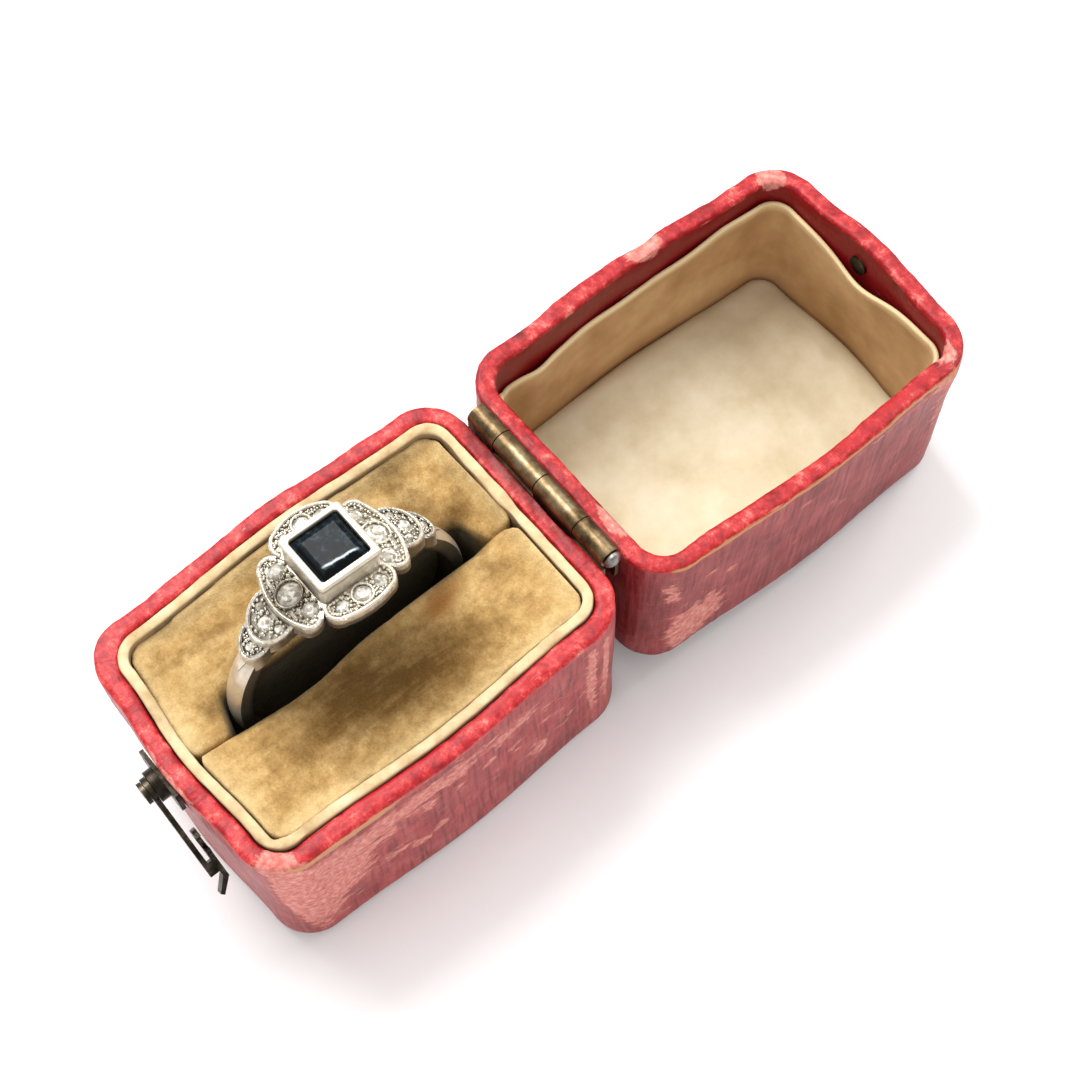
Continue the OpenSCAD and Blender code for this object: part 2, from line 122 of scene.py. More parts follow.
# The room is bright overhead and dimmer towards the horizon.
world = bpy.data.worlds.new("studio")
scene.world = world
world.use_nodes = True
world.node_tree.nodes.clear()
add = partial(node, world.node_tree)
height = add("SeparateXYZ", add("TexCoord", out="Generated"), out="Z")
glow = add("MapRange", height, 0.0, 0.9, 0.42, 0.82)
add("OutputWorld", add("Background", (1.0, 0.995, 0.985, 1.0), glow))
scene.view_settings.view_transform = "Standard"
for name, spot, size, power in (("softbox_left", (-0.25, 0.02, 0.38), 0.26, 2.3),
                                ("softbox_back", (-0.02, 0.34, 0.30), 0.18, 0.7),
                                ("softbox_right", (0.34, -0.20, 0.30), 0.16, 0.45)):
    lamp = bpy.data.objects.new(name, bpy.data.lights.new(name, "AREA"))
    lamp.data.size = size
    lamp.data.energy = power
    back = np.array(spot) - np.array((0.0, 0.01, 0.0))
    back /= np.linalg.norm(back)
    side = np.cross((0.0, 0.0, 1.0), back)
    side /= np.linalg.norm(side)
    stand(lamp, [side, np.cross(back, side), back], spot)


# Base of the box: a thin wooden tray covered in glazed crimson leather, which is rolled over the rim,
# rubbed to salmon at the corners and scratched down the sides.
def plan(corners, radii, bows, count):
    """Closed outline, counter-clockwise, in mm. Straight runs join quarter-round corners, run i goes
    from corner i to corner i + 1 and its middle bows out by bows[i] times cos^2 of the way along it.
    It starts in the middle of the last run and is cut into equal steps. Also gives outward normals."""
    corners = np.array(corners, float)
    ahead = np.roll(corners, -1, 0) - corners
    ahead /= np.linalg.norm(ahead, axis=1)[:, None]
    behind = np.roll(ahead, 1, 0)
    half = np.arccos(np.clip((ahead * behind).sum(1), -1, 1)) / 2
    cut = np.array(radii) * np.tan(half)
    t = np.linspace(0, 1, 242)[1:-1, None]
    path = []
    for i in range(len(corners)):
        j = (i + 1) % len(corners)
        inward = np.array([-behind[i][1], behind[i][0]])
        centre = corners[i] - behind[i] * cut[i] + inward * radii[i]
        angle = np.arctan2(-inward[1], -inward[0]) + np.linspace(0, 2 * half[i], 40)
        path.append(centre + radii[i] * np.stack([np.cos(angle), np.sin(angle)], 1))
        a, b = corners[i] + ahead[i] * cut[i], corners[j] - ahead[i] * cut[j]
        out = np.array([ahead[i][1], -ahead[i][0]])
        path.append(a + (b - a) * t + out * bows[i] * np.cos(np.pi * (t - 0.5)) ** 2)
    path = np.roll(np.concatenate(path), len(t) // 2, 0)
    ring = np.concatenate([path, path[:1]])
    along = np.concatenate([[0], np.cumsum(np.linalg.norm(np.diff(ring, axis=0), axis=1))])
    at = np.linspace(0, along[-1], count, endpoint=False)
    points = np.stack([np.interp(at, along, ring[:, k]) for k in (0, 1)], 1)
    tangent = np.roll(points, -1, 0) - np.roll(points, 1, 0)
    tangent /= np.linalg.norm(tangent, axis=1)[:, None]
    return points, np.stack([tangent[:, 1], -tangent[:, 0]], 1)


def shell(points, normals, insets, heights, shrink):
    """Grid of points from a plan and a profile: row j is the plan moved in by insets[j], drawn
    towards its middle by shrink[j], at height heights[j]."""
    insets = np.asarray(insets, float).reshape(len(shrink), -1, 1)
    rows = points[None] - normals[None] * insets
    middle = points.mean(0)
    rows = middle + (rows - middle) * np.asarray(shrink)[:, None, None]
    high = np.broadcast_to(np.asarray(heights, float).reshape(len(rows), -1), rows.shape[:2])
    return np.concatenate([rows, high[..., None]], 2)


def lengths(points, grid):
    """Lengths in mm round a plan, and up the grid at a quarter of the way round, for its UV map."""
    steps = np.linalg.norm(np.diff(grid[:, len(points) // 4], axis=0), axis=1)
    return (np.arange(len(points)) * np.linalg.norm(points[1] - points[0]),
            np.concatenate([[0], np.cumsum(steps)]))


def facing(grid):
    """Unit normals of a grid that closes round its second axis: the cross product of the central
    differences along the columns and up the rows."""
    around = np.roll(grid, -1, 1) - np.roll(grid, 1, 1)
    normal = np.cross(around, np.gradient(grid, axis=0))
    return normal / np.maximum(np.linalg.norm(normal, axis=2), 1e-9)[..., None]


def ripple(points, wavelength, seed, waves=28):
    """Smooth random height from about -1 to 1: the sum of sine waves of like wavelength in mm, with
    random directions and phases."""
    pick = np.random.default_rng(seed)
    way = pick.normal(size=(waves, 3))
    pitch = 2 * np.pi / wavelength * pick.uniform(0.7, 1.5, waves)
    way *= (pitch / np.linalg.norm(way, axis=1))[:, None]
    total = np.zeros(points.shape[:-1])
    for k, phase in zip(way, pick.uniform(0, 2 * np.pi, waves)):
        total += np.sin(points @ k + phase)
    return total / np.sqrt(waves)


def spots(points, *rows):
    """Sum of soft patches. Each row is a strength, a centre and a radius along each axis in mm, and its
    patch is the strength times exp of minus the squared distance to the centre, in units of the radii."""
    axes = points.shape[-1]
    return sum(row[0]
               * np.exp(-(((points - np.array(row[1:1 + axes])) / np.array(row[1 + axes:])) ** 2).sum(-1))
               for row in rows)


def ramp(values, start, width):
    """Rises from 0 to 1 as the values go from start over the width, or falls where the width is below 0."""
    return np.clip((values - start) / width, 0, 1)


def mark(mesh, fields):
    """Stores values per point under their names, for the materials to read."""
    for field, values in fields.items():
        layer = mesh.attributes.new(field, "FLOAT", "POINT")
        layer.data.foreach_set("value", np.asarray(values, np.float32).ravel())


def woven(name, grids, flip=False):
    """Mesh from grids of points in mm: each four neighbours make a face, and the second axis of each
    grid closes on itself."""
    faces, used = [], 0
    for grid in grids:
        index = used + np.arange(grid[..., 0].size).reshape(grid.shape[:2])
        nearby = np.roll(index, -1, 1)
        faces.append(np.stack([index[:-1], nearby[:-1], nearby[1:], index[1:]], -1).reshape(-1, 4))
        used += index.size
    faces = np.concatenate(faces)[:, ::-1 if flip else 1]
    mesh = bpy.data.meshes.new(name)
    mesh.from_pydata((np.concatenate([grid.reshape(-1, 3) for grid in grids]) / 1000).tolist(), [],
                     faces.tolist())
    mesh.polygons.foreach_set("use_smooth", np.ones(len(faces), bool))
    return mesh


def merged(mesh, gap, turn_out=False):
    """Object of a mesh whose points nearer than gap are merged, with its faces turned out if asked."""
    work = bmesh.new()
    work.from_mesh(mesh)
    bmesh.ops.remove_doubles(work, verts=work.verts, dist=gap)
    if turn_out:
        bmesh.ops.recalc_face_normals(work, faces=work.faces)
    work.to_mesh(mesh)
    work.free()
    made = bpy.data.objects.new(mesh.name, mesh)
    scene.collection.objects.link(made)
    return made


def surface(name, grid, fields=None, uv=None, flip=False):
    """Mesh object from one grid whose rows may shrink to points. fields are values per point, and uv
    is a pair of lengths in mm along the columns and the rows."""
    mesh = woven(name, [grid], flip)
    if uv is not None:
        along, upward = uv
        u = np.stack([along] * (len(grid) - 1))
        right_u = u + along[1] - along[0]
        v0, v1 = upward[:-1, None] + 0 * u, upward[1:, None] + 0 * u
        corners = np.stack([u, v0, right_u, v0, right_u, v1, u, v1], -1).reshape(-1, 4, 2)
        corners = corners[:, ::-1 if flip else 1] / 10
        mesh.uv_layers.new(name="mm").data.foreach_set("uv", corners.astype(np.float32).ravel())
    mark(mesh, fields or {})
    return merged(mesh, 1e-7)


box_outline = ([(-10.5, 14.8), (-10.5, -14.8), (10.5, -14.8), (10.5, 14.8)], [3.4] * 4, [0.5, 0.5, 0.5, 0.0])
inner_rows = 16


def box_shell(height, floor_height, columns=640):
    """Closed shell of one half of the box, hinge side at +Y: out along the underside, round the
    bottom edge, up the leaning wall, over the rolled rim, and down inside to the inner floor. Also
    gives its UV lengths, how far each point is outside, and the fields that the leather reads."""
    points, normals = plan(*box_outline, columns)
    lean, wall, edge, roll = 0.4, 1.35, 0.8, 0.42
    run = edge * np.tan(np.pi / 4 - np.arctan(lean / height) / 2)
    core = np.linspace(0.0, 1.0, 9)
    turn = np.linspace(0, np.pi / 2, 9)[1:]
    up = np.linspace(edge, height - roll, 36)[1:]
    over = np.linspace(0, np.pi, 27)[1:-1]
    across = np.sign(np.cos(over)) * np.abs(np.cos(over)) ** 0.7
    down = np.linspace(height - roll, floor_height, inner_rows - 4)
    insets = np.concatenate([np.full(len(core), lean + run), lean + run - edge * np.sin(turn),
                             lean * (1 - up / height), wall / 2 * (1 - across), np.full(inner_rows, wall)])
    heights = np.concatenate([np.zeros(len(core)), edge * (1 - np.cos(turn)), up,
                              height - roll + roll * np.sin(over) ** 0.7, down, np.full(4, floor_height)])
    shrink = np.concatenate([core, np.ones(len(turn) + len(up) + len(over) + len(down)),
                             [0.7, 0.4, 0.2, 0.0]])
    grid = shell(points, normals, insets, heights, shrink)
    bands = np.zeros((3, len(grid), 1))
    rim_at = len(core) + len(turn) + len(up)
    bands[0, :rim_at] = 1
    bands[0, rim_at:rim_at + len(over), 0] = np.clip(1 - over / (np.pi / 2), 0, 1)
    bands[1, -inner_rows:] = 1
    bands[2, :len(core)] = 1
    outside, inner, under = np.broadcast_to(bands, (3,) + grid.shape[:2])
    return grid, lengths(points, grid), outside, {"rim": ramp(grid[..., 2], height - 0.75, 0.35),
                                                  "inner": inner, "under": under}


grid, uv, outside, fields = box_shell(16.6, 1.2)
on_rim = fields["rim"]
amount = 0.05 * ripple(grid, 7.0, 3) * ramp(grid[..., 2], 0, 3)
amount += on_rim * (0.024 * ripple(grid, 1.9, 5) + 0.01 * ripple(grid, 0.8, 8))
amount += (1 - on_rim) * outside * 0.012 * ripple(grid, 1.1, 9) * ramp(grid[..., 2], 0, 2)
# The rim is squeezed low beside the hinge and over the near corner, and the left corner is swollen.
amount += spots(grid, (-0.25, 0, 14.2, 16.6, 8.0, 0.9, 0.8), (-0.1, 9.6, -13.2, 16.6, 1.6, 1.6, 0.8),
                (0.22, -10.2, -13.6, 15.5, 2.0, 2.2, 5.0))
amount[-inner_rows:] = 0
most_swell = 0.28
grid = grid + facing(grid) * np.minimum(amount, most_swell)[..., None]
grid[..., 2] = np.clip(grid[..., 2], 0, 16.62)
wear = spots(grid, (1.1, 10.0, -13.4, 16.2, 1.8, 1.3, 1.2), (0.55, 9.9, -13.8, 11.0, 1.6, 1.0, 5.5),
             (0.5, 10.8, -12.4, 7.5, 1.4, 2.4, 5.0), (0.45, 10.6, -1.5, 15.9, 0.8, 4.5, 0.6),
             (0.25, 10.8, -9.0, 13.0, 1.4, 4.5, 2.0), (0.4, -10.4, -1.8, 16.3, 0.5, 2.6, 0.6),
             (0.4, 0, -15.2, 14.0, 9.0, 1.0, 2.0), (0.35, 0, -15.2, 16.6, 9.0, 0.5, 0.6),
             (0.35, 10.3, -1.0, 16.3, 0.5, 4.0, 0.4))
right_wall = outside * ramp(grid[..., 0], 9.0, 0.8) * ramp(grid[..., 2], 15.6, -0.6)
wear += right_wall * (0.27 + spots(grid, (0.15, 10.8, -1.0, 13.8, 2.0, 6.5, 1.6),
                                   (0.08, 10.8, 7.0, 8.0, 2.0, 4.0, 5.0)))
# Rubbed blotches on the right wall: place along it, height, half length, half height and strength.
for y, z, long, high, strength in (
        (-6.2, 11.0, 0.9, 0.5, 0.3), (-3.0, 11.2, 0.8, 0.5, 0.3), (-3.3, 13.5, 1.6, 0.7, 0.45),
        (-0.3, 13.0, 1.0, 0.4, 0.35), (-0.5, 11.0, 0.5, 0.5, 0.3), (2.0, 10.7, 0.7, 0.4, 0.3),
        (3.2, 12.9, 0.7, 0.5, 0.4), (4.7, 13.2, 0.6, 0.5, 0.35), (-6.0, 6.4, 1.0, 0.6, 0.35),
        (-4.0, 5.4, 0.8, 0.5, 0.35), (-2.5, 6.2, 0.8, 0.5, 0.3), (6.2, 5.3, 0.6, 1.0, 0.35),
        (-9.0, 9.0, 1.6, 2.2, 0.3), (11.0, 10.5, 0.35, 6.0, 0.5), (12.3, 10.5, 0.3, 6.0, 0.5)):
    wear += right_wall * spots(grid, (strength, 10.8, y, z, 3.0, long, high))
tan = outside * np.exp(-((grid[..., 2] - 16.0) / 0.6) ** 2) * ramp(grid[..., 0], 9.4, 0.8)
tan *= 0.4 + spots(grid, (0.75, 10.8, -9.5, 16.0, 2.0, 5.5, 2.0))
tan += spots(grid, (0.5, -10.6, 4.0, 16.0, 0.6, 4.0, 0.6))
red = spots(grid, (1.0, 9.7, -5.5, 16.6, 0.5, 4.2, 0.8), (0.9, 9.9, 3.5, 16.6, 0.4, 5.0, 0.8))
# Painted shade: darker towards the table, and on the hinge side's wall and rim, where the lid's hinge side
# stands close. A band down the front wall by the right corner and a small fleck on the right wall are
# darkened too.
dirt_and_shade = 0.9 * ramp(grid[..., 2], 1.2, -1.2) + outside * spots(grid, (0.6, 8.6, -15.0, 8.0, 1.8, 0.9, 8.0))
dirt_and_shade += spots(grid, (0.8, -2.0, 14.5, 16.0, 7.0, 0.8, 1.2), (0.75, 0, 15.2, 9.0, 12.0, 0.9, 9.0),
              (0.9, 10.8, -4.0, 13.7, 1.0, 0.22, 0.16))
base_leather = surface("base_leather", grid,
                       fields | {"wear": wear, "tan": tan, "red": red, "dirt_and_shade": dirt_and_shade}, uv)
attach(base_leather, "base")
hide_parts("base_case")


# Glazed sheepskin, dyed crimson and varnished: half gloss with a fine crinkle at the rim, a straight
# grain down the walls, and chalky salmon skin where the dye is rubbed away.
def leather(name, wall_tones, rim_tones):
    made, add, place = material(name)
    field = {key: add("Attribute", attribute_name=key, out="Fac")
             for key in ("rim", "wear", "tan", "red", "dirt_and_shade", "inner", "under")}
    # Lengths in cm: round and up the walls, and straight across the underside.
    walls = add("UVMap", uv_map="mm")
    flat = add("VectorMath MULTIPLY", place, (100.0, 100.0, 0.0))
    length = add("Mix VECTOR", add("Math GREATER_THAN", field["under"], 0.5), walls, flat)
    # Straight grain: lines 0.35 mm apart round the wall and about 5 mm long down it.
    grain = add("TexNoise", add("Mapping", length, scale=(10 / 0.35, 10 / 5.0, 1.0)), 1.0, 4.0, 0.62)
    cloud = add("TexNoise", place, 1000 / 3.5, 5.0, 0.62)
    fine = add("TexNoise", place, 1000 / 0.4, 4.0, 0.65)
    # Flakes of lost varnish lie along the wall, 1.5 mm long and half as high.
    flakes = add("TexNoise", add("Mapping", length, scale=(10 / 1.5, 10 / 0.75, 1.0)), 1.0, 7.0, 0.72)
    # Scratches: 3 mm long, about 0.3 mm apart, and near enough level.
    slant = add("Mapping", length, rotation=(0.0, 0.0, 0.2), scale=(10 / 3.0, 10 / 0.3, 1.0))
    scratch = add("TexNoise", slant, 1.0, 4.0, 0.55)
    scratched = add("MapRange", scratch, 0.66, 0.72, 0.0, 0.7)
    wall = add("ValToRGB", cloud, stops=dict(zip((0.32, 0.5, 0.68), wall_tones)))
    light_grain = add("MapRange", grain, 0.5, 0.72, 0.0, 0.45)
    dark_grain = add("MapRange", grain, 0.5, 0.33, 0.0, 0.95)
    # Varnish is rubbed off the rim in blotches of about 1 mm with ragged edges.
    ragged = add("TexNoise", place, 1000 / 1.3, 8.0, 0.78)
    rim = add("ValToRGB", ragged, stops=dict(zip((0.38, 0.49, 0.57, 0.67), rim_tones + ("#dc8074",))))
    # Bright varnish is left in strips along the rim, and rubbed skin shows where the wear field and
    # the flakes' noise are high together.
    bright = add("MapRange", add("Math ADD", field["red"], cloud), 1.0, 1.15, 0.0, 0.85)
    rubbed = add("MapRange", add("Math ADD", field["wear"], flakes), 0.86, 0.96, 0.0, 0.85)
    bare = add("Math MAXIMUM", rubbed, scratched)
    salmon = add("ValToRGB", fine, stops={0.3: "#b85f52", 0.5: "#d08176", 0.7: "#e4aa9c"})
    tanned = add("MapRange", add("Math ADD", field["tan"], flakes), 1.05, 1.25, 0.0, 0.85)
    # Painted shade near the table and by the hinge, with a few dark marks, turns the leather dark brown here.
    darkened_mix = add("MapRange", add("Math MULTIPLY", field["dirt_and_shade"], cloud), 0.1, 0.6, 0.0, 0.85)
    colour = wall
    for mask, coat in ((light_grain, "#a86a66"), (dark_grain, "#6c1218"), (field["rim"], rim),
                       (field["inner"], "#7c0c12"), (bright, "#ab1219"), (bare, salmon),
                       (tanned, "#c08a56"), (darkened_mix, "#3c1410")):
        colour = add("Mix RGBA", mask, colour, coat)
    gloss = add("MapRange", bare, 0.0, 1.0, 0.42, 0.75)
    # Relief: pores 0.03 mm deep, grain 0.04 mm deep, and the bare skin a little lower.
    raised = add("Math SUBTRACT", fine, bare)
    lumps = add("Bump", height=raised, strength=0.7, distance=0.00004)
    ridges = add("Bump", height=grain, strength=0.7, distance=0.00006, normal=lumps)
    add("OutputMaterial", add("BsdfPrincipled", base_color=colour, roughness=gloss, specular_ior_level=0.3,
                              normal=ridges))
    return made


base_leather.data.materials.append(leather("glazed_leather_base", ("#82201f", "#a02f30", "#b64c48"),
                                           ("#861017", "#ad1f25", "#c43a39")))


# Border of the base's lining: a roll of cream silk-faced card round the pads, glued to the walls and
# tucked in at the corners, where it puckers.
points, normals = plan(*box_outline, 720)
over = np.linspace(0, np.pi, 17)
foot = 11.6
up = np.linspace(foot, 16.3, 8)[:-1]
insets = np.concatenate([[1.78], np.full(7, 1.42), 1.78 - 0.37 * np.cos(over), np.full(7, 2.15), [1.78]])
heights = np.concatenate([[foot], up, 16.46 + 0.3 * np.sin(over) ** 0.5, up[::-1], [foot]])
grid = shell(points, normals, insets, heights, np.ones(len(insets)))
round_corner = spots(points, *[(1.0, x, y, 2.0, 2.0) for x in (-8.2, 8.2) for y in (-12.4, 12.4)])
amount = (0.014 * ripple(grid, 2.6, 21) + 0.008 * ripple(grid, 1.1, 22)
          + 0.03 * round_corner * ripple(grid, 0.9, 23))
amount += spots(grid, (0.1, -7.9, 12.2, 16.8, 1.0, 0.7, 1.0), (-0.12, -6.4, 12.6, 16.8, 0.7, 0.7, 1.0),
                (0.12, -1.3, 12.9, 16.8, 0.9, 0.7, 1.0), (-0.12, 0.2, 12.9, 16.8, 0.6, 0.7, 1.0),
                (-0.16, 7.9, -12.4, 16.8, 0.35, 0.3, 1.0), (-0.14, 8.8, -10.9, 16.8, 0.3, 0.35, 1.0))
amount *= ramp(grid[..., 2], 15.8, 0.6)
grid = grid + facing(grid) * np.clip(amount, -0.15, 0.1)[..., None]
# Painted shade in brown down both sides of the roll, where it tucks in against the leather and the pads.
crease_shade = np.concatenate([np.ones(8), np.clip(0.9 - np.sin(over) * 1.3, 0, 1), np.ones(8)])
crease_shade = np.broadcast_to(crease_shade[:, None], grid.shape[:2])
insert_border = surface("insert_border_roll", grid, {"crease_shade": crease_shade}, lengths(points, grid))
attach(insert_border, "base")
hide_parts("insert_border")
# Aged silk over card: matt cream, with painted shade in brown where it meets the leather and the pads.
silk, add, place = material("aged_cream_silk")
crease_shade = add("Attribute", attribute_name="crease_shade", out="Fac")
blotch = add("TexNoise", place, 1000 / 2.4, 5.0, 0.65)
thread = add("TexNoise", place, 1000 / 0.2, 2.0)
cream = add("ValToRGB", blotch, stops={0.3: "#ac8f62", 0.48: "#c9b085", 0.7: "#dccba4"})
grime_and_shade = add("MapRange", add("Math MULTIPLY", crease_shade, blotch), 0.16, 0.6, 0.0, 0.9)
colour = add("Mix RGBA", grime_and_shade, cream, "#4a3018")
nap = add("Bump", height=thread, strength=0.5, distance=0.00004)
add("OutputMaterial", add("BsdfPrincipled", base_color=colour, roughness=0.78, normal=nap))
insert_border.data.materials.append(silk)


# Pads of the base: two cushions of cotton velvet, stuffed and pushed in side by side, so that their
# rolled edges grip the ring's shank. The rear one sits lower and closes the slot under the ring.
def read_points(mesh):
    """All vertex places of a mesh as one array, in mm."""
    flat = np.empty(len(mesh.vertices) * 3, np.float32)
    mesh.vertices.foreach_get("co", flat)
    return flat.reshape(-1, 3).astype(float) * 1000


def write_points(mesh, place):
    """Puts all vertices of a mesh at places in mm."""
    mesh.vertices.foreach_set("co", (place / 1000).astype(np.float32).ravel())
    mesh.update()


def stuffed(piece, voxel, cap, hold=None):
    """Swell a closed mesh like a stuffed cushion: remesh it, let Cloth blow it up with no gravity for
    20 frames at 40 times its size, keep each point's move under cap mm, and smooth it once. hold says
    how free each point is, from 0 to 1."""
    scale = 40.0
    piece.data.transform(Matrix.Scale(scale, 4))
    remesh = piece.modifiers.new("remesh", "REMESH")
    remesh.mode = "VOXEL"
    remesh.voxel_size = voxel * scale / 1000
    shaped = bpy.data.meshes.new_from_object(piece.evaluated_get(bpy.context.evaluated_depsgraph_get()))
    piece.modifiers.clear()
    piece.data = shaped
    before = read_points(shaped) / scale
    blow = piece.modifiers.new("cloth", "CLOTH")
    blow.settings.quality = 5
    blow.settings.mass = 0.3
    blow.settings.use_pressure = True
    blow.settings.uniform_pressure_force = 4.0
    blow.settings.effector_weights.gravity = 0
    blow.collision_settings.use_collision = False
    for number in range(1, 21):
        scene.frame_set(number)
    swollen = bpy.data.meshes.new_from_object(piece.evaluated_get(bpy.context.evaluated_depsgraph_get()))
    move = read_points(swollen) / scale - before
    piece.modifiers.clear()
    scene.frame_set(1)
    size = np.linalg.norm(move, axis=1)
    move *= (cap * np.tanh(size / cap) / np.maximum(size, 1e-9))[:, None]
    if hold is not None:
        move *= hold(before)[:, None]
    write_points(shaped, before + move)
    shaped.polygons.foreach_set("use_smooth", np.ones(len(shaped.polygons), bool))
    smooth = piece.modifiers.new("smooth", "SUBSURF")
    smooth.levels = smooth.render_levels = 1


def cushion(name, outline, radii, bows, top, roll, crown, warp, columns=480):
    """Closed cushion: the plan is carried from the middle of the underside up the sides, over a
    rolled edge whose radius is roll at each column, and in over a top that crowns by (1 - k^2)."""
    points, normals = plan(outline, radii, bows, columns)
    roll = roll(points)
    bottom = 1.35
    over = np.linspace(0, np.pi / 2, 10)[:, None]
    sides = np.linspace(bottom, top - 1.5, 14)[:, None]
    core = np.linspace(1, 0, 15)[1:, None]
    insets = np.concatenate([np.zeros((20, columns)), roll * (1 - np.cos(over)), np.tile(roll, (14, 1))])
    heights = np.concatenate([np.full((6, columns), bottom), np.tile(sides, (1, columns)),
                              top - roll + roll * np.sin(over),
                              np.full((14, columns), top) + crown * (1 - core ** 2)])
    shrink = np.concatenate([np.linspace(0, 1, 6), np.ones(14 + 10), core[:, 0]])
    return surface(name, warp(shell(points, normals, insets, heights, shrink)))


def bulge(across, width):
    """How far a side of the box bows out: 0.5 mm times cos^2 of the way across its width."""
    return 0.5 * np.cos(np.pi * np.clip(across / width, -0.5, 0.5)) ** 2


side_x, side_y = 14.2, 22.8
far_y, near_y, end_x = 12.74, -12.76, 8.46


def settle(grid):
    """Bow a pad's near side out with the box, the more so the nearer it is to that side."""
    grid[..., 1] -= ramp(grid[..., 1], -9.0, -3.6) ** 2 * bulge(grid[..., 0], side_x)
    return grid


def close_slot(grid):
    """Carry the rear pad's slot edge across the slot past the ring, where |y| is over 10, lift its
    near end level with the pad in front, and curl it up where it meets the border."""
    past = np.clip(np.maximum(-9.35 - grid[..., 1], grid[..., 1] - 9.7), 0, 1)
    past = past * past * (3 - 2 * past)
    grid[..., 0] += 2.9 * past * ramp(grid[..., 0], -5.5, 3.15)
    high = ramp(grid[..., 2], 8.0, 6.0)
    near = ramp(grid[..., 1], -8.6, -3.0)
    grid[..., 2] += high * (0.55 * near * near * (3 - 2 * near) - 0.12 * past * np.clip(grid[..., 1], 0, 1))
    curl = np.maximum(ramp(grid[..., 0], -6.7, -1.6) * (1 - near), ramp(grid[..., 1], 11.0, 1.6))
    grid[..., 2] += high * 0.78 * curl * curl
    return settle(grid)


def part_slot(grid):
    """Press the front pad's slot edge back by up to 0.5 mm beside the ring's near half, and raise
    its outer edges to the border by 0.4 mm."""
    grid[..., 0] += 0.5 * np.exp(-((grid[..., 1] + 5.0) / 3.6) ** 2) * ramp(grid[..., 0], 4.5, -4.0)
    curl = np.maximum(ramp(grid[..., 0], 7.2, 1.2), ramp(np.abs(grid[..., 1]), 11.5, 1.2))
    grid[..., 2] += 0.4 * ramp(grid[..., 2], 12.0, 3.0) * curl
    return settle(grid)


rear_pad = cushion("rear_velvet", [(-2.35, 12.7), (-8.42, 12.7), (-8.42, -12.72), (-2.35, -12.72)],
                   [0.5, 1.2, 1.2, 0.5], [0.0, 0.5, 0.0, 0.0], 15.62,
                   lambda p: 0.28 + 0.52 * (p[:, 0] > -2.8) * ramp(np.abs(p[:, 1]), 11.6, -1.4),
                   0.12, close_slot)
front_pad = cushion("front_velvet", [(0.46, -12.72), (8.42, -12.72), (8.42, 12.7), (0.46, 12.7)],
                    [0.5, 1.2, 1.2, 1.0], [0.0, 0.5, 0.0, 0.0], 16.3,
                    lambda p: 0.28 + 0.57 * (p[:, 0] < 0.9) * ramp(np.abs(p[:, 1]), 11.0, -1.4),
                    0.12, part_slot)
slot_floor = cushion("slot_velvet", [(0.3, 12.4), (-2.9, 12.4), (-2.9, -12.4), (0.3, -12.4)],
                     [0.3] * 4, [0.0] * 4,
                     4.4, lambda p: np.full(len(p), 0.25), 0.0, lambda grid: grid)
for pad in (rear_pad, front_pad):
    stuffed(pad, 0.3, 0.2, lambda p: np.clip((p[:, 2] - 6.0) / 4.0, 0.15, 1))
for pad in (rear_pad, front_pad, slot_floor):
    place = read_points(pad.data)
    # Nothing swells past the rolled border, and the pads' slot edges stay clear of the ring.
    bow = bulge(place[:, 0], side_x)
    place[:, 1] = np.clip(place[:, 1], near_y - bow, far_y)
    side_bow = bulge(place[:, 1], side_y)
    place[:, 0] = np.clip(place[:, 0], -end_x - side_bow, end_x + side_bow)
    if pad is rear_pad:
        by_ring = (np.abs(place[:, 1] - 0.15) < 9.5) & (place[:, 2] > 4.5)
        place[:, 0] = np.where(by_ring, np.minimum(place[:, 0], -2.2), place[:, 0])
    if pad is front_pad:
        place[:, 0] = np.maximum(place[:, 0], 0.3)
    edge = np.minimum(far_y - place[:, 1], place[:, 1] + bow - near_y)
    edge = np.minimum(end_x + side_bow - np.abs(place[:, 0]), edge)
    # The outer edges, which the cloth rounds, are pressed up against the border again.
    place[:, 2] += 0.28 * ramp(edge, 0.8, -0.8) * (place[:, 2] > 15)
    write_points(pad.data, place)
    top = 16.3 if pad is front_pad else 15.65
    in_slot = ramp(np.abs(place[:, 0] + 0.95), 3.2, -0.8) * ramp(np.abs(place[:, 1]), 10.8, -0.7)
    # Brown patches on the pads, and painted shade where the shank goes into them at the slot's ends.
    dirt_and_shade = spots(place, (1.0, 4.4, -3.0, 16.4, 2.6, 5.6, 1.4), (0.75, 5.6, 3.2, 16.4, 2.0, 4.0, 1.4),
                 (0.5, 1.7, -2.6, 16.4, 1.5, 4.6, 1.2), (0.6, 2.0, 9.2, 16.4, 1.6, 1.2, 1.2),
                 (0.8, -5.4, 8.5, 15.8, 3.4, 1.5, 1.2), (0.55, -6.0, -8.0, 15.8, 0.7, 3.4, 1.2),
                 (0.35, -3.6, -3.0, 15.8, 1.2, 5.0, 1.2), (0.8, -2.6, 10.4, 15.6, 1.2, 1.0, 1.5),
                 (0.9, -1.9, -10.4, 16.0, 0.8, 0.8, 1.5))
    # Painted shade: nearly black down the slot's walls, and dark in the crease along the pads' outer edges.
    mark(pad.data, {"depth": in_slot * ramp(place[:, 2], top - 0.15, -0.85), "dirt_and_shade": dirt_and_shade,
                    "crease_shade": ramp(edge, 0.25, -0.25) * ramp(place[:, 2], 17.0, -0.5),
                    "pale": ramp(edge, 1.6, -1.6) * ramp(place[:, 2], 15.0, 1.0),
                    "stain": spots(place, (1.0, 2.3, 4.9, 16.3, 0.9, 1.3, 1.0),
                                   (0.8, 1.6, 6.2, 16.2, 0.8, 1.5, 1.0))})
    pad.data.update()
    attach(pad, "base")
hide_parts("rear_pad")
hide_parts("front_pad")
